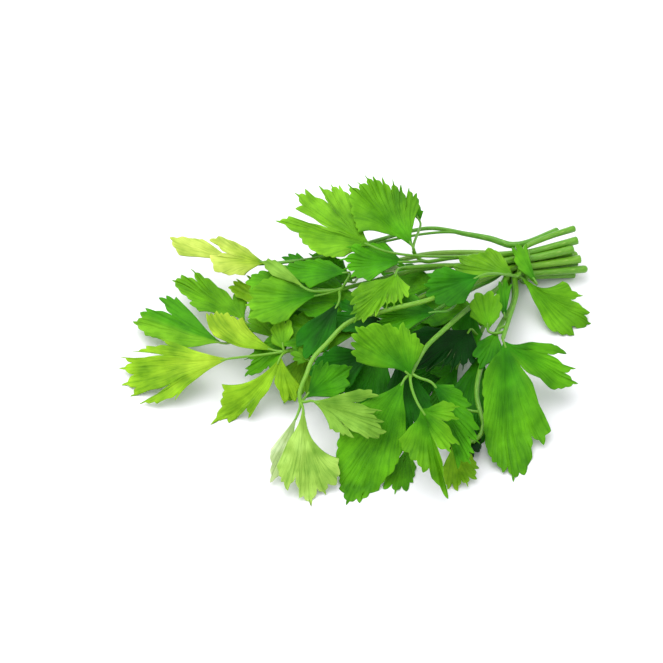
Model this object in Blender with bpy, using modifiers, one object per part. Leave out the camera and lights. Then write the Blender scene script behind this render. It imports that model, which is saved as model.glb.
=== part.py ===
"""A tied bunch of flat-leaf parsley lying on a table: twelve leafy stems and a thirteenth wound round them.

Lengths in this file are millimetres and are turned into metres where a mesh or a curve is made.

Where a leaf or a stem lies is given as it is seen by an eye in front of the bunch and above it: u runs
across and v up a sight plane that stands square to the line of sight through the middle of the bunch,
and z is the height over the table. Leaves are laid from the table upwards. Each one keeps the place
where it is seen, and is raised along the line of sight, as a smooth sheet held at its stalk, until it
clears everything laid before it.
"""
import math

import bmesh
import bpy
import numpy as np
from mathutils import Matrix, Vector

MM = 0.001
BUNCH = "parsley_bunch"

# The eye looks down by this angle, from this far away.
EYE_ELEVATION = math.radians(45.0)
EYE_DISTANCE = 752.0
EYE = EYE_DISTANCE * np.array((0.0, -math.cos(EYE_ELEVATION), math.sin(EYE_ELEVATION)))
# What the bunch's middle is moved by, so that the middle of its box stands on the origin.
PLACE = np.array((-10.95, 22.47, 0.0))

# Thickness of a leaflet, and the gap kept between things that lie on each other.
BLADE_THICKNESS = 0.7
CLEARANCE = 0.32

# Radii of a stem at its cut end, at the tie, beyond it and at its crown, and of a leaflet's stalk.
CUT_END_RADIUS = 1.65
STEM_RADIUS = 1.4
LEAFY_RADIUS = 1.15
CROWN_RADIUS = 0.85
STALK_RADIUS = 0.62
STALK_END_RADIUS = 0.45
# How far a stalk runs on inside its leaflet, and how closely a bar follows its path.
INSIDE_BLADE = 3.0
PATH_TOLERANCE = 0.15
# Distance between the points of a stem's path, and of the winding stem's.
STEM_STEP = 4.0
TIE_STEP = 2.2

# The tie: where it is seen, its height, the bundle's heading there and at the cut ends, the stems'
# length beyond it, how much wider than in the tie they fan out there, and their pitch in the tie.
TIE_SEEN = (77.8, 27.4)
TIE_HEIGHT = 8.4
TIE_HEADING = math.radians(8.0)
CUT_HEADING = math.radians(17.0)
CUT_LENGTH = 19.0
CUT_SPREAD = 1.4
PITCH = 3.1
# A stem is kept as it is this near the tie, and right of a line this far left of it.
TIE_REACH = 16.0
TIE_LEFT = 14.0

# Slots of the stems in the tie, in steps of the pitch: across (away from the eye) and up.
SLOTS = {
    "back_top": (0.54, 1.56), "front_top": (-0.54, 1.56),
    "middle_upper": (0.0, 0.62), "front_upper": (-1.08, 0.62),
    "back_lower": (1.62, -0.31), "inner_back": (0.54, -0.31), "inner_front": (-0.54, -0.31),
    "front_lower": (-1.62, -0.31), "outside": (3.15, 0.75),
    "back_bottom": (1.08, -1.25), "middle_bottom": (0.0, -1.25), "front_bottom": (-1.08, -1.25),
}

# The stem wound round the bundle: its radius at the cut and in the ring, the ring's radius, the turns
# it takes in degrees, its advance along the bundle meanwhile, and where its cut end is seen.
TIE_CUT_RADIUS = 1.4
TIE_STEM_RADIUS = 1.0
TIE_RING = 7.45
TIE_TURNS = (70.0, 500.0)
TIE_ADVANCE = (1.6, -1.7)
TIE_CUT_END = (99.0, 42.0, 15.5)

# How a leaflet gives way to what lies under it: it bends from its base no more steeply than the slope,
# and may be raised whole. The pairs are for a leaflet on a long stalk and for one close to its stem.
MAX_SLOPE = 0.7
STALK_HOLD = (0.04, 0.6)
MAX_RISE = (12.0, 3.0)
# Degrees, across and along a leaflet, of the smooth patch that it is bent by.
PATCH = (4, 4)
# A stem or stalk rises no more steeply than this from where it is held.
TUBE_SLOPE = 1.1
# What lies within this height of the table is pressed flat on it.
PRESSED = 0.03

# The grid over the sight plane on which the laid heights are kept, and the height of an empty cell.
CELL = 0.5
GRID_LOW = np.array((-105.0, -85.0))
GRID_SHAPE = (460, 320)
NOTHING = -50.0

# Leaflet outlines, from one side to the other: tooth tips and the notches between them by turns, each
# as degrees off the midline and percent of the leaflet's length.
OUTLINES = {
    "yellow_far": [(-14, 58), (-12, 62), (-10, 71), (-8, 77), (-5, 87), (-3, 90), (-1, 100), (7, 87),
                   (12, 81)],
    "yellow_near": [(-33, 37), (-30, 50), (-28, 66), (-26, 74), (-24, 87), (-21, 89), (-18, 100), (-9, 73),
                    (-4, 92), (4, 86), (12, 85), (15, 74), (19, 67), (24, 54), (35, 41)],
    "left_back": [(-48, 32), (-40, 34), (-32, 42), (-12, 36), (-2, 67), (1, 69), (4, 87), (8, 79), (11, 92),
                  (14, 91), (17, 100), (21, 87), (24, 80), (26, 67), (29, 68), (32, 59), (36, 54)],
    "left_mid": [(-26, 69), (-23, 69), (-21, 77), (-19, 76), (-16, 82), (-10, 68), (-6, 91), (-4, 89),
                 (-2, 94), (1, 92), (4, 100), (6, 93), (8, 91), (10, 84), (13, 82), (14, 70), (16, 64),
                 (19, 54), (26, 42)],
    "left_front": [(-25, 66), (-20, 60), (-17, 76), (-15, 76), (-13, 89), (-11, 51), (-9, 99), (-6, 94),
                   (-3, 100), (1, 94), (6, 100), (9, 92), (13, 96), (15, 58), (19, 91), (22, 78),
                   (24, 77), (26, 58), (29, 62)],
    "lime": [(-17, 58), (-9, 60), (-4, 76), (1, 79), (6, 91), (10, 91), (15, 100), (18, 92), (21, 80)],
    "strip": [(-45, 56), (-32, 74), (-23, 94), (-17, 87), (-11, 100), (-1, 89), (12, 81), (22, 59), (46, 41)],
    "centre_left": [(-31, 53), (-23, 63), (-17, 78), (-11, 83), (-6, 95), (0, 92), (5, 100), (10, 95),
                    (14, 100), (17, 90), (22, 86), (25, 76), (29, 74), (31, 63), (34, 53)],
    "dark_small": [(-20, 51), (-13, 60), (-8, 76), (-5, 77), (-2, 91), (2, 91), (7, 100), (12, 90), (18, 92)],
    "pale_lobe": [(-13, 61), (-10, 76), (-6, 96), (-2, 96), (3, 100), (8, 82), (12, 70)],
    "dark_top": [(-28, 34), (-20, 42), (-14, 64), (-11, 70), (-9, 84), (-7, 85), (-4, 100), (3, 86),
                 (9, 82), (15, 68), (25, 63)],
    "top_left": [(-46, 46), (-39, 50), (-34, 70), (-32, 68), (-29, 77), (-26, 72), (-21, 82), (-17, 66),
                 (-13, 88), (-10, 86), (-6, 93), (-3, 83), (2, 85), (4, 43), (8, 88), (10, 89),
                 (13, 100), (18, 74), (26, 69), (33, 57), (40, 47), (44, 37), (48, 29)],
    "low_left": [(-52, 66), (-46, 67), (-41, 77), (-37, 79), (-33, 100), (-29, 85), (-25, 87), (-21, 66),
                 (-15, 71), (-5, 27), (18, 47), (26, 43), (31, 48), (37, 39), (48, 35)],
    "front_pale": [(-30, 64), (-26, 69), (-22, 78), (-20, 78), (-16, 85), (-12, 77), (-8, 91), (-5, 90),
                   (-1, 100), (4, 87), (9, 91), (12, 83), (17, 85), (20, 78), (23, 77), (25, 68), (29, 63)],
    "front_paddle": [(-10, 61), (-7, 66), (-4, 72), (0, 76), (5, 100), (8, 92), (11, 85), (14, 69), (16, 52)],
    "pale_mitten": [(-42, 42), (-38, 44), (-32, 59), (-29, 59), (-25, 70), (-21, 60), (-18, 84), (-16, 84),
                    (-13, 94), (-10, 94), (-6, 100), (-2, 88), (1, 93), (4, 80), (8, 89), (14, 57),
                    (20, 84), (23, 76), (26, 76), (28, 66), (31, 60)],
    "behind_stalk": [(-36, 53), (-28, 62), (-21, 83), (-12, 82), (-4, 100), (4, 84), (10, 78), (15, 72),
                     (19, 74), (22, 67), (26, 72), (30, 61), (36, 60)],
    "little_light": [(-44, 60), (-30, 65), (-16, 82), (-5, 79), (10, 100), (16, 82), (23, 84), (30, 65),
                     (43, 66)],
    "front_dark": [(-32, 44), (-27, 50), (-22, 60), (-19, 63), (-17, 68), (-15, 69), (-12, 75), (-10, 77),
                   (-7, 83), (-4, 85), (-2, 92), (1, 93), (4, 100), (7, 94), (9, 95), (12, 86), (16, 82),
                   (18, 72), (22, 67), (25, 56), (30, 44)],
    "right_toothed": [(-70, 40), (-63, 42), (-56, 49), (-50, 49), (-44, 56), (-39, 56), (-33, 68), (-27, 66),
                      (-18, 100), (-12, 50), (0, 57), (5, 52), (12, 57), (24, 33), (40, 43), (48, 36),
                      (58, 42), (66, 30), (74, 25)],
    "right_dark": [(-26, 96), (-22, 92), (-17, 96), (-14, 86), (-11, 88), (-8, 76), (-4, 84), (-1, 70),
                   (4, 72), (10, 48), (18, 50), (22, 37), (27, 36), (32, 26), (38, 24)],
    "right_front": [(-58, 25), (-50, 36), (-44, 47), (-40, 60), (-37, 73), (-35, 78), (-32, 86), (-30, 86),
                    (-27, 93), (-25, 91), (-23, 100), (-20, 95), (-18, 96), (-16, 90), (-13, 85), (-10, 74),
                    (-6, 79), (-3, 73), (1, 72), (8, 25), (20, 50), (27, 55), (33, 61), (36, 52),
                    (42, 55), (46, 37), (52, 46), (56, 41), (60, 34)],
    "tie_leaf": [(-22, 55), (-21, 70), (-16, 84), (-9, 93), (-6, 83), (-2, 93), (5, 100), (7, 90),
                 (11, 92), (13, 71), (20, 77), (22, 63), (28, 57), (30, 50)],
    "bundle_bright": [(-36, 22), (-31, 34), (-26, 43), (-21, 48), (-16, 56), (-6, 56), (2, 68), (7, 74),
                      (11, 92), (16, 82), (21, 100), (25, 76), (29, 80), (32, 67), (36, 59)],
    "bundle_dark": [(-36, 62), (-31, 70), (-26, 92), (-20, 88), (-14, 99), (-9, 94), (-4, 100), (1, 88),
                    (8, 90), (14, 77), (21, 76), (27, 63), (37, 53)],
    "cupped_small": [(-45, 43), (-40, 52), (-34, 74), (-29, 78), (-24, 96), (-18, 93), (-12, 100), (-1, 94),
                     (9, 100), (16, 86), (24, 82), (32, 64), (44, 56)],
    "toothed_dark": [(-20, 93), (-14, 88), (-8, 100), (-4, 89), (0, 96), (3, 76), (7, 74), (11, 57),
                     (17, 52)],
    "middle_light": [(-56, 55), (-51, 64), (-46, 78), (-42, 76), (-38, 86), (-35, 82), (-31, 94), (-27, 90),
                     (-23, 100), (-20, 88), (-16, 90), (-12, 70), (-8, 74), (-4, 52), (1, 60), (6, 50),
                     (13, 57), (19, 44), (27, 50), (33, 38), (41, 42), (49, 32), (62, 28)],
    "middle_cup": [(-48, 44), (-39, 46), (-31, 58), (-24, 57), (-17, 73), (-10, 68), (-3, 76), (5, 77),
                   (11, 87), (18, 88), (23, 100), (26, 93), (30, 97), (33, 89), (36, 92), (39, 84),
                   (43, 86), (46, 77), (50, 75)],
    "top_right": [(-44, 44), (-42, 48), (-39, 60), (-35, 58), (-31, 67), (-27, 58), (-24, 70), (-21, 66),
                  (-18, 77), (-14, 71), (-11, 83), (-9, 79), (-6, 90), (-4, 86), (-2, 96), (1, 89),
                  (4, 96), (7, 90), (10, 100), (13, 90), (16, 89), (20, 80), (25, 78), (31, 68), (40, 62)],
    "top_curl": [(-29, 46), (-17, 48), (-6, 74), (0, 76), (6, 100), (15, 66), (29, 38)],
    "under_top": [(-38, 42), (-27, 50), (-18, 70), (-12, 74), (-6, 93), (-1, 84), (4, 100), (9, 88),
                  (14, 96), (18, 81), (23, 85), (28, 68), (37, 60)],
    "under_pale": [(-42, 69), (-36, 80), (-28, 100), (-18, 72), (0, 66), (18, 36), (44, 29)],
    "table_right": [(-36, 76), (-28, 78), (-21, 96), (-16, 90), (-10, 100), (-3, 88), (3, 97), (9, 85),
                    (16, 91), (22, 75), (28, 77), (32, 56), (38, 47)],
    "table_left": [(-30, 74), (-26, 82), (-22, 98), (-15, 90), (-8, 100), (-2, 86), (5, 90), (10, 74),
                   (15, 74), (21, 54), (28, 47)],
}


def leaf(outline, level, join, base, length, heading, lean=(0.0, 0.3), **more):
    """One leaflet: where on its stem its stalk starts, where its blade starts, and how it is held.

    level is its turn in the laying; join is 0 at the tie and 1 at the stem's end; base is (u, v), and
    heading is in degrees in the sight plane. lean is the rise of the blade for each millimetre across
    and up the sight plane, droop the fall of its tip and cup the rise of its sides, as shares of its
    length.
    """
    spec = dict(
        outline=outline, level=level, join=join, base=base, length=length, heading=heading, lean=lean,
        neck=(0.9, 0.9), bend=0.0, droop=0.08, cup=0.0, ruffle=0.02, base_height=None,
    )
    spec.update(more)
    return spec


# The leafy stems: slot in the tie, turn in the laying, the points (u, v, z) that the stem passes after
# the tie, and its leaflets.
LEAFY_STEMS = {
    "stem_left_back": dict(
        slot="back_lower", level=10, colour=(0.10, 0.33, 0.03),
        path=[(61, 32, 10), (36, 31, 13), (8, 22, 14), (-17, 9, 13), (-31, 2, 12)],
        leaves=[
            leaf("left_back", 12, 1.0, (-34.9, 3.6), 36, 132, (0.05, 0.15), neck=(0.9, 0.7)),
            leaf("left_mid", 12.5, 0.88, (-20, 10), 24, 155, (0.05, 0.2)),
            leaf("left_mid", 13, 1.0, (-44.4, -4.8), 39, 161, (0.12, 0.2), neck=(1.0, 1.0)),
            leaf("behind_stalk", 14, 0.9, (-22, -3.5), 20, 128, (0.0, 0.3)),
            leaf("left_mid", 15, 0.75, (6, 17.5), 36, 170, (0.05, 0.3)),
            leaf("centre_left", 15.2, 0.72, (5, 12), 29, 203, (0.05, 0.35)),
            leaf("under_top", 15.4, 0.66, (9, 20), 24, 152, (0.05, 0.3)),
        ],
    ),
    "stem_left": dict(
        slot="inner_back", level=16, colour=(0.30, 0.55, 0.03),
        path=[(60, 25, 12), (38, 15, 15), (18, 6, 17), (0, -3, 17), (-18, -8, 15)],
        leaves=[
            leaf("left_back", 15.6, 0.88, (-14, 1), 29, -154, (0.1, 0.2), base_height=9.0),
            leaf("behind_stalk", 15.7, 0.9, (-9, -8), 24, -112, (0.0, 0.33), base_height=9.0),
            leaf("centre_left", 15.8, 0.65, (12, -0.5), 32, 175, (0.05, 0.2)),
            leaf("centre_left", 16.2, 0.7, (13, 13), 28, 174, (0.05, 0.2)),
            leaf("little_light", 17, 0.93, (-7.5, -12.3), 10, 150, (0.0, 0.5)),
            leaf("left_front", 19, 1.0, (-42.0, -11.1), 45, -172, (0.18, 0.3), neck=(0.9, 0.8)),
            leaf("low_left", 18, 1.0, (-20.7, -10.3), 40, -103, (0.05, 0.5), neck=(0.6, 0.9)),
            leaf("lime", 19.5, 1.0, (-22.7, -7.9), 33, 160, (0.0, 0.25), bend=-25),
            leaf("strip", 19.2, 1.0, (-19.4, -7.9), 14, 104, (0.0, 0.5)),
        ],
    ),
    "stem_back": dict(
        slot="outside", level=20, girth=0.8, colour=(0.55, 0.72, 0.10),
        path=[(66, 37.3, 11.5), (55, 39.6, 13), (39, 42, 16), (18, 37, 18.5), (-3, 30.5, 18.5),
              (-22, 28, 18)],
        leaves=[
            leaf("yellow_far", 21, 1.0, (-38.3, 28.0), 30, 160, (0.03, 0.2), neck=(1.0, 0.9)),
            leaf("yellow_near", 22, 0.35, (-26.1, 28.0), 26, 176, (0.03, 0.2), neck=(0.8, 0.6)),
        ],
    ),
    "stem_inner": dict(
        slot="back_bottom", level=24, girth=0.9, colour=(0.08, 0.28, 0.02),
        path=[(66, 21.5, 7), (57, 17, 9.5), (47, 11.2, 13), (30, 0.2, 15.5), (20, -6, 15.5)],
        leaves=[
            leaf("front_pale", 22, 1.0, (21, -5), 33, -105, (0.0, 0.25)),
            leaf("centre_left", 22.5, 1.0, (17.5, -8), 30, -157, (0.05, 0.25)),
            leaf("left_mid", 22.7, 0.95, (22, 4), 28, 176, (0.05, 0.3)),
            leaf("front_pale", 22.8, 0.85, (28, -9), 34, -83, (0.0, 0.25)),
            leaf("centre_left", 22.6, 0.45, (44, 20), 26, 174, (0.05, 0.25)),
            leaf("under_top", 23, 0.55, (43, 8), 27, 178, (0.1, 0.3)),
        ],
    ),
    "stem_low_middle": dict(
        slot="middle_bottom", level=25, colour=(0.04, 0.20, 0.02),
        path=[(73.2, 19, 4.6), (68.5, 11, 6), (63, 3, 8), (60, -3, 9)],
        leaves=[
            leaf("middle_light", 26, 1.0, (57, 1), 34, -128, (0.0, 0.3)),
            leaf("front_pale", 27, 1.0, (61, -8), 44, -99, (0.0, 0.22)),
            leaf("left_mid", 9.5, 0.9, (56, 6), 34, 187, (0.05, 0.2), base_height=7.5),
            leaf("left_back", 9.7, 1.0, (55, -5), 36, -152, (0.05, 0.2), base_height=7.5),
            leaf("left_back", 9.8, 1.0, (52, -13), 30, -128, (0.05, 0.2), base_height=6.0),
            leaf("centre_left", 9.9, 0.9, (60, 9), 28, 170, (0.05, 0.2), base_height=7.0),
            leaf("under_top", 25.5, 0.6, (57.5, 11.5), 22, -108, (0.0, 0.25), base_height=8.0),
        ],
    ),
    "stem_low_front": dict(
        slot="front_bottom", level=30, colour=(0.35, 0.55, 0.06),
        path=[(73.5, 12, 6), (68.5, 2.5, 9), (62, -11, 11), (59.2, -25, 10.5), (62, -39, 7), (58, -45, 4)],
        leaves=[
            leaf("table_right", 31, 1.0, (49.2, -44.3), 21, -74, (0.0, 0.3), base_height=3.0),
            leaf("table_left", 32, 1.0, (31.2, -46.4), 21, -97, (0.0, 0.35), base_height=2.2),
            leaf("front_pale", 30.5, 0.9, (54, -32), 22, -88, (0.0, 0.3), base_height=6.0),
        ],
    ),
    "stem_right_front": dict(
        slot="front_lower", level=33, colour=(0.14, 0.42, 0.03),
        path=[(75, 15, 10), (72, 4, 15), (70.1, -2.5, 18)],
        leaves=[
            leaf("right_front", 34, 1.0, (70.1, -3.7), 58, -63, (-0.1, 0.33), neck=(1.0, 1.0)),
            leaf("behind_stalk", 32.5, 0.9, (68, 1), 18, -112, (0.0, 0.3)),
            leaf("cupped_small", 82, 0.95, (64.1, 0.0), 17, 98, (0.0, 0.6)),
            leaf("toothed_dark", 81, 0.75, (71.0, 4.7), 17, 99, (0.0, 0.5)),
        ],
    ),
    "stem_centre_left": dict(
        slot="middle_upper", level=36, colour=(0.16, 0.42, 0.03),
        path=[(58, 27, 13.5), (36, 25, 19), (15, 20, 24.5), (3, 17, 27.5)],
        leaves=[
            leaf("dark_small", 37, 1.0, (-14.6, 18.5), 21, 167, (0.0, 0.2)),
            leaf("centre_left", 38, 1.0, (-3.8, 15.1), 32, -178, (0.05, 0.3), neck=(0.9, 0.7)),
            leaf("dark_top", 39, 1.0, (7.7, 23.9), 28, 176, (0.05, 0.3)),
            leaf("pale_lobe", 40, 1.0, (-9.9, 17.2), 22, 146, (0.0, 0.35), neck=(0.8, 0.8)),
            leaf("tie_leaf", 35, 1.0, (3, 12), 27, -125, (0.0, 0.4)),
        ],
    ),
    "stem_front": dict(
        slot="inner_front", level=45, colour=(0.10, 0.36, 0.05),
        path=[(69, 18, 12), (57.3, 10.4, 17), (45.5, 0.2, 21.5), (38.2, -7, 24), (32, -18, 25)],
        leaves=[
            leaf("front_dark", 46, 1.0, (30.0, -19.2), 57, -119, (0.0, 0.5), neck=(0.95, 1.0)),
            leaf("right_dark", 47, 1.0, (40.4, -20.5), 39, -47, (0.0, 0.4)),
            leaf("right_toothed", 48, 1.0, (36.3, -31.2), 39, -55, (0.0, 0.45)),
            leaf("middle_cup", 60, 1.0, (32.6, -18.4), 31, 115, (0.0, 0.75), neck=(1.0, 1.0)),
        ],
    ),
    "stem_front_left": dict(
        slot="front_upper", level=50, girth=0.95, colour=(0.42, 0.62, 0.12),
        path=[(61, 21, 17), (40, 13, 23), (24, 9, 26.5), (7.5, 4, 29), (-2, -5, 28), (-7.5, -11, 26),
              (-10.4, -18, 23), (-13, -25, 19.5), (-12.4, -30, 17)],
        leaves=[
            leaf("behind_stalk", 52, 1.0, (-11.2, -27.5), 24, 38, (0.0, 0.4)),
            leaf("front_paddle", 53, 1.0, (-13.5, -33.0), 31, -117, (0.0, 0.4), neck=(0.8, 0.9)),
            leaf("front_pale", 54, 1.0, (-11.8, -30.7), 41, -84, (0.0, 0.42), neck=(0.95, 0.15)),
            leaf("pale_mitten", 55, 1.0, (-8.1, -28.3), 33, -16, (0.1, 0.4), neck=(0.7, 0.9)),
        ],
    ),
    "stem_middle": dict(
        slot="front_top", level=62, colour=(0.22, 0.52, 0.08),
        path=[(61, 27, 17), (44, 27, 23), (30, 26, 28)],
        leaves=[
            leaf("under_pale", 63, 1.0, (28.8, 25.9), 12, 184, (0.0, 0.3)),
            leaf("middle_light", 65, 1.0, (26.6, 24.4), 27, -107, (0.05, 0.4), neck=(0.9, 0.8)),
        ],
    ),
    "stem_top": dict(
        slot="back_top", level=70, girth=0.85, colour=(0.25, 0.58, 0.04),
        path=[(64, 31, 17), (50, 30, 21), (38, 28.5, 25.5), (33.5, 32.5, 30)],
        leaves=[
            leaf("under_top", 71, 0.92, (30.0, 28.4), 27, 172, (0.05, 0.3)),
            leaf("top_left", 73, 0.42, (16.5, 34.8), 41, 152, (0.05, 0.3), neck=(0.8, 0.8)),
            leaf("top_curl", 74, 1.0, (36.3, 44.4), 10, 104, (0.0, 0.5)),
            leaf("top_right", 75, 1.0, (33.5, 34.1), 38, 125, (0.0, 0.45), neck=(0.7, 0.6)),
        ],
    ),
}

# The stem wound round the bundle, and its own leaflets.
TIE_STEM = dict(
    level=80, colour=(0.22, 0.55, 0.02),
    leaves=[
        leaf("tie_leaf", 83, 1.0, (76.3, 22.9), 36, -38, (-0.1, 0.35), neck=(0.95, 0.05)),
        leaf("bundle_dark", 84, 1.0, (61.0, 22.8), 24, -158, (0.05, 0.4)),
        leaf("bundle_bright", 85, 1.0, (74.4, 22.8), 28, 150, (-0.1, 0.3)),
        leaf("toothed_dark", 86, 1.0, (84, 19.5), 19, 125, (0.0, 0.4)),
    ],
)


def seen(u, v, z):
    """The points at heights z on the lines of sight through (u, v) of the sight plane."""
    u, v, z = np.broadcast_arrays(u, v, z)
    on_plane = np.stack((u, v * math.sin(EYE_ELEVATION), v * math.cos(EYE_ELEVATION)), axis=-1)
    share = (EYE[2] - z) / (EYE[2] - on_plane[..., 2])
    return EYE + (on_plane - EYE) * share[..., None]


def sight(points):
    """Where points are seen: u, v and their height z, the inverse of seen."""
    toward = EYE / EYE_DISTANCE
    ray = points - EYE
    hit = EYE + ray * (-EYE_DISTANCE / (ray @ toward))[..., None]
    v = hit[..., 1] * math.sin(EYE_ELEVATION) + hit[..., 2] * math.cos(EYE_ELEVATION)
    return hit[..., 0], v, points[..., 2]


def smooth_path(points, step):
    """A curve through the points (Catmull-Rom), with a point about every step along it."""
    points = np.asarray(points, float)
    ends = np.vstack((2 * points[0] - points[1], points, 2 * points[-1] - points[-2]))
    t = np.linspace(0, 1, 24, endpoint=False)[:, None]
    dense = []
    for a, b, c, d in zip(ends, ends[1:], ends[2:], ends[3:]):
        dense.append(0.5 * (2 * b + (c - a) * t + (2 * a - 5 * b + 4 * c - d) * t ** 2
                            + (3 * b - 3 * c + d - a) * t ** 3))
    dense = np.vstack(dense + [points[-1:]])
    length = np.concatenate(([0], np.cumsum(np.linalg.norm(np.diff(dense, axis=0), axis=1))))
    stations = np.linspace(0, length[-1], max(2, round(length[-1] / step) + 1))
    return np.stack([np.interp(stations, length, dense[:, k]) for k in range(3)], axis=1)


def tie_frame():
    """The tie's centre, the bundle's direction there towards the cut ends, and the way across it."""
    centre = seen(*TIE_SEEN, TIE_HEIGHT)
    along = np.array((math.cos(TIE_HEADING), math.sin(TIE_HEADING), 0.0))
    across = np.array((-along[1], along[0], 0.0))
    return centre, along, across


def stem_path(spec, number):
    """A stem from its cut end through its slot in the tie to its crown."""
    centre, along, across = tie_frame()
    a, b = SLOTS[spec["slot"]]
    slot = centre + PITCH * (a * across + b * np.array((0, 0, 1)))
    cut_along = np.array((math.cos(CUT_HEADING), math.sin(CUT_HEADING), 0.0))
    cut_across = np.array((-cut_along[1], cut_along[0], 0.0))
    fan = np.array((0, 0, 1)) * b + cut_across * a
    length = CUT_LENGTH + 2.0 * math.sin(2.4 * number)
    cut = centre + 4 * along + length * cut_along + PITCH * CUT_SPREAD * fan
    cut[2] = CUT_END_RADIUS + PITCH * CUT_SPREAD * (b + 1.25)
    route = [cut, slot + 4 * along, slot - 4 * along] + [seen(*p) for p in spec["path"]]
    return smooth_path(route, STEM_STEP)


def tie_path():
    """The winding stem: from its cut end over the bundle, round it, and up to its crown in front."""
    centre, along, across = tie_frame()
    turn = np.radians(np.linspace(*TIE_TURNS, 19))[:, None]
    advance = np.linspace(*TIE_ADVANCE, 19)[:, None]
    ring = centre + along * advance + TIE_RING * (np.cos(turn) * across
                                                  + np.sin(turn) * np.array((0, 0, 1)))
    start = seen(*TIE_CUT_END)
    return smooth_path(np.vstack((start, 0.5 * (start + ring[0]) + (0, 0, 0.8), ring)), TIE_STEP)


def stem_radius(path, name):
    """Radius along a stem: widest at the cut, slimmer beyond the tie, slimmest at the crown."""
    steps = np.linalg.norm(np.diff(path, axis=0), axis=1)
    along = np.concatenate(([0], np.cumsum(steps)))
    if name == "stem_tie":
        return np.interp(along, (0, 22), (TIE_CUT_RADIUS, TIE_STEM_RADIUS))
    girth = LEAFY_STEMS[name].get("girth", 1.0)
    leafy = np.interp(along, (CUT_LENGTH + 6, CUT_LENGTH + 32), (0.0, 1.0))
    at_cut = np.interp(along, (0, CUT_LENGTH), (CUT_END_RADIUS, STEM_RADIUS))
    slim = np.interp(along, (CUT_LENGTH, along[-1]), (LEAFY_RADIUS, CROWN_RADIUS)) * girth
    return at_cut * (1 - leafy) + slim * leafy


def untangle(paths, rounds=160):
    """Stems that come too close are pushed apart, and each push is spread smoothly along its stem."""
    centre = tie_frame()[0]
    names = list(paths)
    sizes = [len(paths[n]) for n in names]
    owner = np.repeat(np.arange(len(names)), sizes)
    start = np.vstack([paths[n] for n in names])
    radius = np.concatenate([stem_radius(paths[n], n) for n in names])
    movable = np.clip((np.linalg.norm(start - centre, axis=1) - 1.5) / 6.0, 0, 1)
    shift = np.zeros_like(start)
    one_stem = owner[:, None] == owner[None, :]
    need = radius[:, None] + radius[None, :] + 2.2 * CLEARANCE
    for _ in range(rounds):
        at = start + shift
        apart = at[:, None] - at[None, :]
        far = np.linalg.norm(apart, axis=2) + 1e-9
        push = np.where(one_stem, 0.0, np.maximum(need - far, 0.0) * 0.35)
        shift += movable[:, None] * (apart / far[..., None] * push[..., None]).sum(axis=1)
        low = start[:, 2] + shift[:, 2] - radius
        shift[:, 2] -= np.minimum(low, 0.0)
        smooth = shift.copy()
        same = (owner[1:-1] == owner[2:]) & (owner[1:-1] == owner[:-2])
        smooth[1:-1][same] = 0.5 * shift[1:-1][same] + 0.25 * (shift[:-2][same] + shift[2:][same])
        shift = smooth * movable[:, None]
    moved = start + shift
    cuts = np.cumsum(sizes)[:-1]
    return dict(zip(names, np.split(moved, cuts)))


def cells_of(uv):
    """Flat grid indices of points of the sight plane."""
    at = np.clip(((uv - GRID_LOW) / CELL).astype(int), 0, np.array(GRID_SHAPE) - 1)
    return at[:, 0] * GRID_SHAPE[1] + at[:, 1]


def cover(uv, triangles):
    """Grid cells under a flat net: their indices, the triangle over each and its corners' weights."""
    cells, over, weights = [], [], []
    for number, triangle in enumerate(triangles):
        p = uv[triangle]
        low = np.floor((p.min(axis=0) - GRID_LOW - 0.3) / CELL).astype(int)
        high = np.ceil((p.max(axis=0) - GRID_LOW + 0.3) / CELL).astype(int)
        i, j = np.meshgrid(np.arange(low[0], high[0] + 1), np.arange(low[1], high[1] + 1), indexing="ij")
        at = GRID_LOW + CELL * (np.stack((i.ravel(), j.ravel()), axis=1) + 0.5)
        edge = np.stack((p[1] - p[0], p[2] - p[0]), axis=1)
        area = abs(np.linalg.det(edge))
        if area < 1e-6:
            continue
        st = (at - p[0]) @ np.linalg.inv(edge).T
        w = np.stack((1 - st.sum(axis=1), st[:, 0], st[:, 1]), axis=1)
        sides = np.linalg.norm(p[[2, 0, 1]] - p[[1, 2, 0]], axis=1)
        slack = 0.3 * sides / area
        inside = (w > -slack).all(axis=1)
        cells.append((i.ravel() * GRID_SHAPE[1] + j.ravel())[inside])
        over.append(np.full(inside.sum(), number))
        held = np.clip(w[inside], 0, 1)
        weights.append(held / held.sum(axis=1, keepdims=True))
    return np.concatenate(cells), np.concatenate(over), np.vstack(weights)


class Pile:
    """Top heights of everything laid so far, kept apart for each leafy stem."""

    def __init__(self, names):
        self.blades = {name: np.full(GRID_SHAPE, NOTHING) for name in names}
        self.stems = {name: np.full(GRID_SHAPE, NOTHING) for name in names}

    def under(self, own, base, with_stems, near=8.0):
        """Heights that a piece of the leafy stem own has to clear, widened by a cell all round."""
        layers = [self.blades[n] for n in self.blades if n != own]
        if with_stems:
            layers += [self.stems[n] for n in self.stems if n != own]
        top = np.max(layers, axis=0)
        if base is not None:
            u = GRID_LOW[0] + CELL * (np.arange(GRID_SHAPE[0]) + 0.5)
            v = GRID_LOW[1] + CELL * (np.arange(GRID_SHAPE[1]) + 0.5)
            away = np.hypot(*np.meshgrid(u - base[0], v - base[1], indexing="ij")) > near
            top = np.where(away, np.maximum(top, self.blades[own]), top)
        for axis in (0, 1):
            top = np.maximum(top, np.maximum(np.roll(top, 1, axis), np.roll(top, -1, axis)))
        return top.ravel()

    def add(self, layer, cells, tops):
        flat = layer.reshape(-1)
        np.maximum.at(flat, cells, tops)


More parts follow.
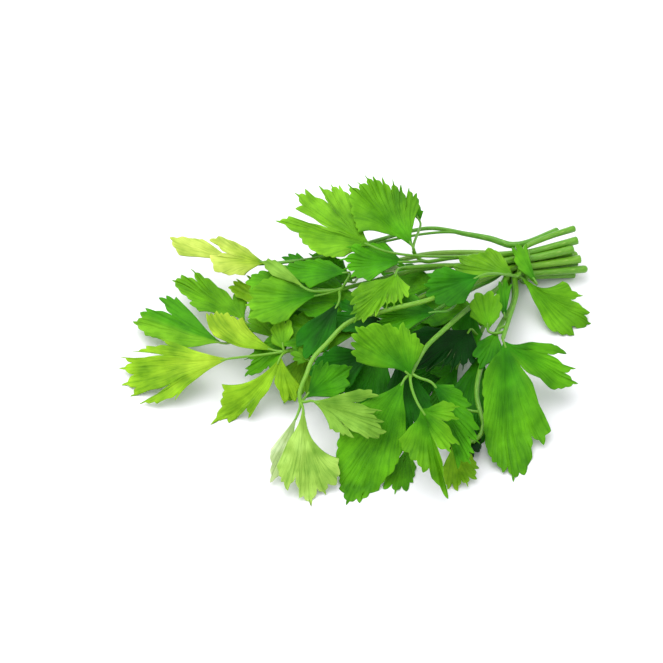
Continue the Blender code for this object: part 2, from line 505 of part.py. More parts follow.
def settle(rows, lack, stiffness, turns=500):
    """The least bending x that makes rows @ x at least lack, where bending is x @ stiffness @ x.

    One multiplier for each row is raised or let down by turns, always the one that is furthest off.
    """
    inverse = np.linalg.inv(np.linalg.cholesky(stiffness))
    pull = rows @ inverse.T
    norm = (pull ** 2).sum(axis=1)
    held = norm > 1e-4 * norm.max()
    pull, lack, norm = pull[held], lack[held], norm[held]
    force = np.zeros(len(norm))
    y = np.zeros(pull.shape[1])
    for _ in range(turns):
        step = np.maximum((lack - pull @ y) / norm, -force)
        worst = np.argmax(np.abs(step) * np.sqrt(norm))
        if abs(step[worst]) * np.sqrt(norm[worst]) < 0.004:
            break
        force[worst] += step[worst]
        y += step[worst] * pull[worst]
    return inverse.T @ y


def bernstein(t, degree):
    """The Bernstein polynomials of a degree at t, one column each."""
    t = np.asarray(t, float)[:, None]
    k = np.arange(degree + 1)
    choose = np.array([math.comb(degree, int(i)) for i in k])
    return choose * t ** k * (1 - t) ** (degree - k)


def line_stiffness(count, bend, hold):
    """Resistance of a row of heights to bending, and a little to being raised at all."""
    second = np.diff(np.eye(count), n=2, axis=0)
    first = np.diff(np.eye(count), axis=0)
    return bend * second.T @ second + 0.05 * first.T @ first + hold * np.eye(count)


def patch_basis(side, reach):
    """Smooth patches over a leaflet's side, from 0 to 1, and its reach, that are nothing at its stalk."""
    across = bernstein(side, PATCH[0])
    along = bernstein(reach, PATCH[1])[:, 1:]
    return (across[:, :, None] * along[:, None, :]).reshape(len(across), -1)


def patch_stiffness():
    """Resistance of the patch to bending along and across, as line_stiffness on its rows and columns."""
    across, along = PATCH[0] + 1, PATCH[1]
    ahead = np.diff(np.eye(along + 1), n=2, axis=0)[:, 1:]
    side = np.diff(np.eye(across), n=2, axis=0)
    tilt = np.diff(np.eye(across), axis=0)
    bend = np.kron(np.eye(across), ahead.T @ ahead) + np.kron(side.T @ side, np.eye(along))
    return bend + 0.08 * np.kron(tilt.T @ tilt, np.eye(along)) + 0.02 * np.eye(across * along)


def blade_form(spec, angle, reach, share):
    """Where points of a leaflet are seen, and their heights over its base, before it is laid.

    angle is in degrees off the midline, reach a share of the length and share the part of the way to the
    cut edge. The sides close in towards the base by the neck, the midline turns by the bend, and the
    blade leans, droops and ruffles.
    """
    outline = np.array(OUTLINES[spec["outline"]], float)
    low, high = outline[0, 0], outline[-1, 0]
    side = (angle - low) / (high - low)
    neck = spec["neck"][0] + (spec["neck"][1] - spec["neck"][0]) * side
    turn = angle * (neck + (1 - neck) * share ** 2) + spec["bend"] * reach ** 2
    heading = np.radians(spec["heading"] + turn)
    length = spec["length"]
    du, dv = length * reach * np.cos(heading), length * reach * np.sin(heading)
    z = spec["lean"][0] * du + spec["lean"][1] * dv - spec["droop"] * length * reach ** 2
    z = z + spec["cup"] * length * reach ** 2 * (turn / 45.0) ** 2
    z = z + spec["ruffle"] * length * reach ** 2 * np.sin(np.radians(9.0 * angle) + spec["heading"])
    return spec["base"][0] + du, spec["base"][1] + dv, z


def blade_net(spec):
    """Angles, reaches, shares and triangles of a leaflet: its cut edge, and sparse rings inside it.

    A ring has every third outline angle, and stays inside the deepest notch beside each of its points.
    """
    outline = np.array(OUTLINES[spec["outline"]], float)
    count = len(outline)
    sparse = np.unique(np.append(np.arange(0, count, 3), count - 1))
    inner = np.array([outline[max(0, k - 3):k + 4, 1].min() for k in sparse]) / 100
    rings = (0.38, 0.8) if spec["length"] > 30 else (0.6,)
    angle = np.concatenate([[0.5 * (outline[0, 0] + outline[-1, 0])]]
                           + [outline[sparse, 0]] * len(rings) + [outline[:, 0]])
    reach = np.concatenate([[0.0]] + [inner * ring for ring in rings] + [outline[:, 1] / 100])
    whole = np.concatenate([[1.0]] + [outline[sparse, 1] / 100] * len(rings) + [outline[:, 1] / 100])
    size = len(sparse)
    triangles = [(0, 1 + k, 2 + k) for k in range(size - 1)]
    for ring in range(len(rings) - 1):
        low, high = 1 + ring * size, 1 + (ring + 1) * size
        for k in range(size - 1):
            triangles.append((low + k, high + k, high + k + 1))
            triangles.append((low + k, high + k + 1, low + k + 1))
    last, edge = 1 + (len(rings) - 1) * size, 1 + len(rings) * size
    for k in range(size - 1):
        middle = (sparse[k] + sparse[k + 1] + 1) // 2
        for m in range(sparse[k], sparse[k + 1]):
            triangles.append((last + k + (m >= middle), edge + m, edge + m + 1))
        triangles.append((last + k, edge + middle, last + k + 1))
    return angle, reach, reach / whole, np.array(triangles)


def thickness_seen(points, triangles, thickness):
    """Height along the line of sight that a thickness takes on each triangle of a net."""
    a, b, c = (points[triangles[:, k]] for k in range(3))
    normal = np.cross(b - a, c - a)
    normal /= np.linalg.norm(normal, axis=1, keepdims=True) + 1e-12
    sight_line = EYE - (a + b + c) / 3
    sight_line /= sight_line[:, 2:]
    return thickness / np.maximum(np.abs((normal * sight_line).sum(axis=1)), 0.45)


def lay_blade(pile, own, spec, base_height, close):
    """Lays one leaflet on the pile, close to its stem or on a long stalk: its net's points and triangles.

    What lies under it bends it up from its base, and raises it whole where its stalk gives way.
    """
    angle, reach, share, triangles = blade_net(spec)
    outline = np.array(OUTLINES[spec["outline"]], float)
    side = (angle - outline[0, 0]) / (outline[-1, 0] - outline[0, 0])
    u, v, rise = blade_form(spec, angle, reach, share)
    rest = np.maximum(base_height + rise, 0.5 * BLADE_THICKNESS)
    cells, over, weights = cover(np.stack((u, v), axis=1), triangles)
    corners = triangles[over]
    basis = np.column_stack((patch_basis(side, reach), np.ones(len(side))))
    rows = np.einsum("kc,kcn->kn", weights, basis[corners])
    stiffness = np.zeros((rows.shape[1],) * 2)
    stiffness[:-1, :-1] = patch_stiffness()
    stiffness[-1, -1] = STALK_HOLD[close]
    room = MAX_SLOPE * spec["length"] * (weights * reach[corners]).sum(axis=1) + MAX_RISE[close]
    under = pile.under(own, spec["base"], True)[cells]
    level = (weights * rest[corners]).sum(axis=1)
    z = rest
    for _ in range(3):
        at = seen(u, v, z)
        half = thickness_seen(at, triangles, 0.5 * BLADE_THICKNESS)[over]
        gap = thickness_seen(at, triangles, CLEARANCE)[over]
        lift = settle(rows, np.minimum(under + half + gap - level, room), stiffness)
        z = np.maximum(rest + basis @ lift, 0.5 * BLADE_THICKNESS)
    pile.add(pile.blades[own], cells, (weights * z[corners]).sum(axis=1) + half)
    return seen(u, v, z), triangles


def tube_samples(u, v, radius):
    """Samples across a tube seen from the eye: cells, the two path points of each and their shares."""
    cells, first, share, rise = [], [], [], []
    for k in range(len(u) - 1):
        a, b = np.array((u[k], v[k])), np.array((u[k + 1], v[k + 1]))
        length = np.linalg.norm(b - a)
        if length < 1e-6:
            continue
        side = np.array((-(b - a)[1], (b - a)[0])) / length
        t = np.linspace(0, 1, max(2, int(length / 0.35) + 1))
        s = np.linspace(-1, 1, 7)
        tt, ss = (x.ravel() for x in np.meshgrid(t, s, indexing="ij"))
        r = radius[k] + (radius[k + 1] - radius[k]) * tt
        at = a + (b - a) * tt[:, None] + side * (ss * r)[:, None]
        cells.append(cells_of(at))
        first.append(np.full(len(tt), k))
        share.append(tt)
        rise.append(0.85 * r * np.sqrt(1 - ss ** 2))
    return (np.concatenate(x) for x in (cells, first, share, rise))


def lay_tube(pile, own, path, radius, layer, pinned, with_stems, skip):
    """Lays a stem or a stalk on the pile: its path, raised where it lies over something."""
    u, v, z = sight(path)
    cells, first, share, rise = tube_samples(u, v, radius)
    rows = np.zeros((len(cells), len(path)))
    index = np.arange(len(cells))
    rows[index, first] = 1 - share
    rows[index, first + 1] += share
    under = pile.under(own, None, with_stems)[cells]
    level = rows @ z
    lack = np.where(skip[first], -1.0, under + rise + CLEARANCE / 0.8 - level)
    steps = np.concatenate(([0], np.cumsum(np.hypot(np.diff(u), np.diff(v)))))
    fixed = steps[pinned > 0]
    if len(fixed):
        room = TUBE_SLOPE * np.abs(steps[:, None] - fixed[None, :]).min(axis=1)
        lack = np.minimum(lack, rows @ room)
    stiffness = line_stiffness(len(path), 4.0, 0.01) + np.diag(pinned * 1e4)
    lift = settle(rows, lack, stiffness)
    z = np.maximum(z + lift, radius + 0.05)
    pile.add(layer, cells, rows @ z + rise)
    return seen(u, v, z)


def stalk_path(stem, join, spec, base_height):
    """A leaflet's stalk: leaves the stem along it and comes into the blade along its heading.

    Each starts at a place of its own inside the stem, a little short of the named one.
    """
    where = join * (len(stem) - 1)
    k = min(int(where), len(stem) - 2)
    short = 0.9 + 0.35 * math.sin(spec["heading"]) + 0.01 * spec["length"]
    start = stem[k] + (stem[k + 1] - stem[k]) * (where - k)
    start = start - (stem[k + 1] - stem[k]) / np.linalg.norm(stem[k + 1] - stem[k]) * short
    end = seen(*spec["base"], base_height)
    gap = np.linalg.norm(end - start)
    if gap < 1.5:
        return np.array((start, end))
    heading = math.radians(spec["heading"])
    inner = seen(spec["base"][0] - math.cos(heading), spec["base"][1] - math.sin(heading), base_height)
    leaving = stem[k + 1] - stem[k]
    leaving = leaving / np.linalg.norm(leaving) * gap * 0.7
    arriving = (end - inner) / np.linalg.norm(end - inner) * gap * 0.7
    t = np.linspace(0, 1, max(3, round(gap / 3.5) + 1))[:, None]
    return ((2 * t ** 3 - 3 * t ** 2 + 1) * start + (t ** 3 - 2 * t ** 2 + t) * leaving
            + (3 * t ** 2 - 2 * t ** 3) * end + (t ** 3 - t ** 2) * arriving)


def lay_stem(pile, name, path, radius):
    """Lays a stem, held as it is about the tie. The winding stem stays as it is drawn."""
    if name == "stem_tie":
        u, v, z = sight(path)
        cells, first, share, rise = tube_samples(u, v, radius)
        pile.add(pile.stems[name], cells, z[first] * (1 - share) + z[first + 1] * share + rise)
        return path
    centre = tie_frame()[0]
    near = np.linalg.norm(path - centre, axis=1) < TIE_REACH
    held = near | (path[:, 0] > centre[0] - TIE_LEFT)
    return lay_tube(pile, name, path, radius, pile.stems[name], held.astype(float), False, held)


def lay_leaflet(pile, name, stem, spec):
    """Lays a leaflet and its stalk: the stalk's path and radii, and the blade's points and triangles."""
    height = spec["base_height"]
    if height is None:
        height = stem[int(spec["join"] * (len(stem) - 1)), 2]
    close = len(stalk_path(stem, spec["join"], spec, height)) <= 3
    points, triangles = lay_blade(pile, name, spec, height, close)
    stalk = stalk_path(stem, spec["join"], spec, points[0, 2])
    if len(stalk) > 3:
        radius = np.linspace(STALK_RADIUS, STALK_END_RADIUS, len(stalk))
        pinned = np.zeros(len(stalk))
        pinned[[0, -1]] = 1.0
        stalk = lay_tube(pile, name, stalk, radius, pile.blades[name], pinned, True, pinned > 0)
    middle = len(triangles[triangles[:, 0] == 0]) // 2
    inside = points[triangles[middle][1:]].mean(axis=0) - points[0]
    stalk = np.vstack((stalk, points[0] + inside / np.linalg.norm(inside) * INSIDE_BLADE))
    return (stalk, np.linspace(STALK_RADIUS, STALK_END_RADIUS, len(stalk))), (points, triangles)


def lay_bunch():
    """Lays all stems, stalks and leaflets by their turns: the tubes and the blades of each node."""
    stems = dict(LEAFY_STEMS, stem_tie=TIE_STEM)
    paths = {name: stem_path(spec, i) for i, (name, spec) in enumerate(LEAFY_STEMS.items())}
    paths["stem_tie"] = tie_path()
    paths = untangle(paths)
    pile = Pile(list(stems))
    turns = [(spec["level"], name, None) for name, spec in stems.items()]
    turns += [(leaflet["level"], name, leaflet) for name in stems for leaflet in stems[name]["leaves"]]
    laid = {name: dict(tubes=[], blades=[]) for name in stems}
    for _, name, spec in sorted(turns, key=lambda turn: turn[0]):
        if spec is None:
            radius = stem_radius(paths[name], name)
            paths[name] = lay_stem(pile, name, paths[name], radius)
            laid[name]["tubes"].append((paths[name], radius))
        else:
            stalk, sheet = lay_leaflet(pile, name, paths[name], spec)
            laid[name]["tubes"].append(stalk)
            laid[name]["blades"].append(sheet)
    return laid


def clear_scene():
    for obj in list(bpy.data.objects):
        bpy.data.objects.remove(obj, do_unlink=True)


def mesh_object(name, mesh, collection):
    """A named object of a mesh, its seams welded and its faces turned outward."""
    work = bmesh.new()
    work.from_mesh(mesh)
    bmesh.ops.remove_doubles(work, verts=work.verts, dist=1e-6)
    bmesh.ops.triangulate(work, faces=work.faces)
    bmesh.ops.recalc_face_normals(work, faces=work.faces)
    work.to_mesh(mesh)
    work.free()
    obj = bpy.data.objects.new(name, mesh)
    collection.objects.link(obj)
    return obj


def modified_mesh(obj):
    """The mesh that an object's modifiers or its curve's bevel give, with its place applied."""
    graph = bpy.context.evaluated_depsgraph_get()
    graph.update()
    mesh = bpy.data.meshes.new_from_object(obj.evaluated_get(graph))
    mesh.transform(obj.matrix_world)
    return mesh


def needed(path, tolerance):
    """Which points of a path are needed so that it strays no further than the tolerance."""
    keep = [0, len(path) - 1]
    spans = [(0, len(path) - 1)]
    while spans:
        a, b = spans.pop()
        if b - a < 2:
            continue
        along = path[b] - path[a]
        along = along / (np.linalg.norm(along) + 1e-9)
        off = path[a + 1:b] - path[a]
        off = np.linalg.norm(off - (off @ along)[:, None] * along, axis=1)
        if off.max() > tolerance:
            far = a + 1 + int(off.argmax())
            keep.append(far)
            spans += [(a, far), (far, b)]
    return sorted(keep)


def tube(name, path, radius, collection):
    """A stem or stalk: a round six-sided bar along a path, its ends closed."""
    keep = needed(path, PATH_TOLERANCE)
    path, radius = path[keep], radius[keep]
    curve = bpy.data.curves.new(name, "CURVE")
    curve.dimensions = "3D"
    curve.bevel_depth = MM
    curve.bevel_resolution = 1
    curve.use_fill_caps = True
    spline = curve.splines.new("POLY")
    spline.points.add(len(path) - 1)
    at = np.column_stack((path * MM, np.ones(len(path))))
    spline.points.foreach_set("co", at.ravel())
    spline.points.foreach_set("radius", np.asarray(radius, float))
    bar = bpy.data.objects.new(name, curve)
    collection.objects.link(bar)
    mesh = modified_mesh(bar)
    bpy.data.objects.remove(bar, do_unlink=True)
    return mesh_object(name, mesh, collection)


def blade(name, points, triangles, collection):
    """A leaflet: an open net of triangles given its thickness to both sides, and flat on the table."""
    mesh = bpy.data.meshes.new(name)
    mesh.from_pydata((points * MM).tolist(), [], triangles.tolist())
    sheet = bpy.data.objects.new(name, mesh)
    collection.objects.link(sheet)
    thicken = sheet.modifiers.new("thickness", "SOLIDIFY")
    thicken.thickness = BLADE_THICKNESS * MM
    thicken.offset = 0.0
    solid = modified_mesh(sheet)
    for vertex in solid.vertices:
        if vertex.co.z < PRESSED * MM:
            vertex.co.z = 0.0
    bpy.data.objects.remove(sheet, do_unlink=True)
    return mesh_object(name, solid, collection)


def material(name, colour):
    """A plain leaf or stem material."""
    made = bpy.data.materials.new(name)
    made.use_nodes = True
    shader = made.node_tree.nodes["Principled BSDF"]
    shader.inputs["Base Color"].default_value = (*colour, 1.0)
    shader.inputs["Roughness"].default_value = 0.45
    return made


def leafy_stem(name, pieces, colour, home):
    """One node: its stem, stalks and leaflets fused into one solid."""
    operands = bpy.data.collections.new(name + "_pieces")
    bpy.context.scene.collection.children.link(operands)
    stem, *stalks = pieces["tubes"]
    obj = tube(name, stem[0], stem[1], home)
    for i, (path, radius) in enumerate(stalks):
        tube(f"{name}_stalk_{i}", path, radius, operands)
    for i, (points, triangles) in enumerate(pieces["blades"]):
        blade(f"{name}_blade_{i}", points, triangles, operands)
    fuse = obj.modifiers.new("fuse", "BOOLEAN")
    fuse.operation = "UNION"
    fuse.operand_type = "COLLECTION"
    fuse.collection = operands
    fuse.solver = "MANIFOLD"
    fused = modified_mesh(obj)
    for part in list(operands.objects):
        bpy.data.objects.remove(part, do_unlink=True)
    bpy.data.collections.remove(operands)
    bpy.data.objects.remove(obj, do_unlink=True)
    obj = bpy.data.objects.new(name, fused)
    home.objects.link(obj)
    obj.data.transform(Matrix.Translation(Vector(PLACE) * MM))
    obj.data.materials.clear()
    obj.data.materials.append(material(name + "_green", colour))
    return obj


def build():
    clear_scene()
    home = bpy.data.collections.new(BUNCH)
    bpy.context.scene.collection.children.link(home)
    stems = dict(LEAFY_STEMS, stem_tie=TIE_STEM)
    for name, pieces in lay_bunch().items():
        leafy_stem(name, pieces, stems[name]["colour"], home)


if __name__ == "__main__":
    build()
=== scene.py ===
"""The looks of a tied bunch of flat-leaf parsley, lying on a pale table.

The first sections lay the bunch the way it lies in the frame, and each later one makes one kind of its
pieces. Lengths are millimetres until a mesh is made.
"""
import math

import bpy
import numpy as np
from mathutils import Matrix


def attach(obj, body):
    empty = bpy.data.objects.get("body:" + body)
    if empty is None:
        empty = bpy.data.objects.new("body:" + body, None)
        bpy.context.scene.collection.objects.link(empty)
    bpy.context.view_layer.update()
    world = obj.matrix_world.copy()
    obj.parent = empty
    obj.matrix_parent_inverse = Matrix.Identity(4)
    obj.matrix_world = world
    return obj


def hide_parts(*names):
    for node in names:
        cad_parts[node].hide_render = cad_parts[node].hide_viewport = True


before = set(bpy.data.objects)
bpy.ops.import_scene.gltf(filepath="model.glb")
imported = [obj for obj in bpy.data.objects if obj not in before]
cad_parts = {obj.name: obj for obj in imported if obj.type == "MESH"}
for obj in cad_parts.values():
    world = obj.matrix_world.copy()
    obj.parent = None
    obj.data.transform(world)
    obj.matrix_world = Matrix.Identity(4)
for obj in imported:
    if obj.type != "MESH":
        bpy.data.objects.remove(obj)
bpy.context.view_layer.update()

# The eye that the bunch is arranged for
# It looks down at the bunch from the front. Where a leaf or a stem lies is given as it is seen: u across
# and v up a sight plane, square to the line of sight through the bunch's middle, and z over the table.
# PLACE is added when a mesh is made: it centres the bunch's box on the origin.
MM = 0.001
EYE_ELEVATION = math.radians(45.0)
EYE_DISTANCE = 752.0
EYE = EYE_DISTANCE * np.array((0.0, -math.cos(EYE_ELEVATION), math.sin(EYE_ELEVATION)))
PLACE = np.array((-10.95, 22.47, 0.0))
UP = np.array((0.0, 0.0, 1.0))


def seen(u, v, z):
    """The points at heights z on the lines of sight through (u, v) of the sight plane."""
    u, v, z = np.broadcast_arrays(u, v, z)
    on_plane = np.stack((u, v * math.sin(EYE_ELEVATION), v * math.cos(EYE_ELEVATION)), axis=-1)
    share = (EYE[2] - z) / (EYE[2] - on_plane[..., 2])
    return EYE + (on_plane - EYE) * share[..., None]


# The course of the stems
# Twelve leafy stems are drawn together in a tie near their cut ends, and fan out beyond it. A thirteenth
# is wound round them there. Stems that would cross are bent apart, as they are in a gathered bunch.
TIE_SEEN = (77.8, 27.4)
TIE_HEIGHT = 8.4
TIE_HEADING = math.radians(8.0)
TIE_STRAIGHT = 4.0
CUT_HEADING = math.radians(17.0)
CUT_LENGTH = 19.0
CUT_UNEVEN = 2.0
CUT_SPREAD = 1.4
PITCH = 3.1
STEM_STEP = 4.0
CURVE_STEPS = 24
# Radii at the cut end, at the tie, and where the leafy part starts and ends. The girth passes from the
# first two to the last two between these lengths beyond the tie.
CUT_END_RADIUS = 1.65
STEM_RADIUS = 1.4
LEAFY_RADIUS = 1.15
CROWN_RADIUS = 0.85
LEAFY_FROM = 6.0
LEAFY_BY = 32.0
# How stems that come too close are parted: the gap, the share of a lack that one round makes good, the
# rounds, and how far from the tie's middle a stem starts to give way and does so in full.
STEM_GAP = 0.704
PUSH = 0.35
ROUNDS = 160
FIRM_WITHIN = 1.5
LOOSE_OVER = 6.0
# The winding stem's radius at the cut and in the ring, and the length between them; the ring's radius,
# points and turns in degrees, its advance along the bundle meanwhile, and where its cut end is seen.
TIE_CUT_RADIUS = 1.4
TIE_STEM_RADIUS = 1.0
TIE_TAPER = 22.0
TIE_RING = 7.45
TIE_POINTS = 19
TIE_TURNS = (70.0, 500.0)
TIE_ADVANCE = (1.6, -1.7)
TIE_CUT_END = (99.0, 42.0, 15.5)
TIE_STEP = 2.2
# Slots of the stems in the tie, in steps of the pitch: across (away from the eye) and up.
BOTTOM_ROW = -1.25
SLOTS = {
    "back_top": (0.54, 1.56), "front_top": (-0.54, 1.56),
    "middle_upper": (0.0, 0.62), "front_upper": (-1.08, 0.62),
    "back_lower": (1.62, -0.31), "inner_back": (0.54, -0.31), "inner_front": (-0.54, -0.31),
    "front_lower": (-1.62, -0.31), "outside": (3.15, 0.75),
    "back_bottom": (1.08, BOTTOM_ROW), "middle_bottom": (0.0, BOTTOM_ROW),
    "front_bottom": (-1.08, BOTTOM_ROW),
}


def smooth_path(points, step):
    """A curve through the points (Catmull-Rom), with a point about every step along it."""
    points = np.asarray(points, float)
    ends = np.vstack((2 * points[0] - points[1], points, 2 * points[-1] - points[-2]))
    t = np.linspace(0, 1, CURVE_STEPS, endpoint=False)[:, None]
    dense = []
    for a, b, c, d in zip(ends, ends[1:], ends[2:], ends[3:]):
        dense.append(0.5 * (2 * b + (c - a) * t + (2 * a - 5 * b + 4 * c - d) * t ** 2
                            + (3 * b - 3 * c + d - a) * t ** 3))
    dense = np.vstack(dense + [points[-1:]])
    steps = np.linalg.norm(np.diff(dense[:, :3], axis=0), axis=1)
    length = np.concatenate(([0], np.cumsum(steps)))
    stations = np.linspace(0, length[-1], max(2, round(length[-1] / step) + 1))
    return np.stack([np.interp(stations, length, column) for column in dense.T], axis=1)


def tie_frame():
    """The tie's centre, the bundle's direction there towards the cut ends, and the way across it."""
    centre = seen(*TIE_SEEN, TIE_HEIGHT)
    along = np.array((math.cos(TIE_HEADING), math.sin(TIE_HEADING), 0.0))
    across = np.array((-along[1], along[0], 0.0))
    return centre, along, across


def stem_path(spec, number):
    """A stem from its cut end through its slot in the tie to its crown."""
    centre, along, across = tie_frame()
    a, b = SLOTS[spec["slot"]]
    slot = centre + PITCH * (a * across + b * UP)
    cut_along = np.array((math.cos(CUT_HEADING), math.sin(CUT_HEADING), 0.0))
    cut_across = np.array((-cut_along[1], cut_along[0], 0.0))
    fan = UP * b + cut_across * a
    length = CUT_LENGTH + CUT_UNEVEN * math.sin(2.4 * number)
    cut = centre + TIE_STRAIGHT * along + length * cut_along + PITCH * CUT_SPREAD * fan
    cut[2] = CUT_END_RADIUS + PITCH * CUT_SPREAD * (b - BOTTOM_ROW)
    route = [cut, slot + TIE_STRAIGHT * along, slot - TIE_STRAIGHT * along]
    return smooth_path(route + [seen(*point) for point in spec["path"]], STEM_STEP)


def tie_path():
    """The winding stem: from its cut end over the bundle, round it, and up to its crown in front."""
    centre, along, across = tie_frame()
    turn = np.radians(np.linspace(*TIE_TURNS, TIE_POINTS))[:, None]
    advance = np.linspace(*TIE_ADVANCE, TIE_POINTS)[:, None]
    ring = centre + along * advance + TIE_RING * (np.cos(turn) * across + np.sin(turn) * UP)
    start = seen(*TIE_CUT_END)
    return smooth_path(np.vstack((start, 0.5 * (start + ring[0]) + 0.8 * UP, ring)), TIE_STEP)


def stem_radius(path, name):
    """Radius along a stem: widest at the cut, slimmer beyond the tie, slimmest at the crown."""
    steps = np.linalg.norm(np.diff(path, axis=0), axis=1)
    along = np.concatenate(([0], np.cumsum(steps)))
    if name == "stem_tie":
        return np.interp(along, (0, TIE_TAPER), (TIE_CUT_RADIUS, TIE_STEM_RADIUS))
    girth = LEAFY_STEMS[name].get("girth", 1.0)
    leafy = np.interp(along, (CUT_LENGTH + LEAFY_FROM, CUT_LENGTH + LEAFY_BY), (0.0, 1.0))
    at_cut = np.interp(along, (0, CUT_LENGTH), (CUT_END_RADIUS, STEM_RADIUS))
    slim = np.interp(along, (CUT_LENGTH, along[-1]), (LEAFY_RADIUS, CROWN_RADIUS)) * girth
    return at_cut * (1 - leafy) + slim * leafy


def untangle(paths):
    """Stems that come too close are pushed apart, and each push is spread smoothly along its stem."""
    names = list(paths)
    sizes = [len(paths[name]) for name in names]
    owner = np.repeat(np.arange(len(names)), sizes)
    start = np.vstack([paths[name] for name in names])
    radius = np.concatenate([stem_radius(paths[name], name) for name in names])
    from_tie = np.linalg.norm(start - tie_frame()[0], axis=1)
    movable = np.clip((from_tie - FIRM_WITHIN) / LOOSE_OVER, 0, 1)
    shift = np.zeros_like(start)
    one_stem = owner[:, None] == owner[None, :]
    inner = (owner[1:-1] == owner[2:]) & (owner[1:-1] == owner[:-2])
    need = radius[:, None] + radius[None, :] + STEM_GAP
    for _ in range(ROUNDS):
        at = start + shift
        apart = at[:, None] - at[None, :]
        far = np.linalg.norm(apart, axis=2) + 1e-9
        push = np.where(one_stem, 0.0, np.maximum(need - far, 0.0) * PUSH)
        shift += movable[:, None] * (apart / far[..., None] * push[..., None]).sum(axis=1)
        low = start[:, 2] + shift[:, 2] - radius
        shift[:, 2] -= np.minimum(low, 0.0)
        smooth = shift.copy()
        smooth[1:-1][inner] = 0.5 * shift[1:-1][inner] + 0.25 * (shift[:-2][inner] + shift[2:][inner])
        shift = smooth * movable[:, None]
    return dict(zip(names, np.split(start + shift, np.cumsum(sizes)[:-1])))


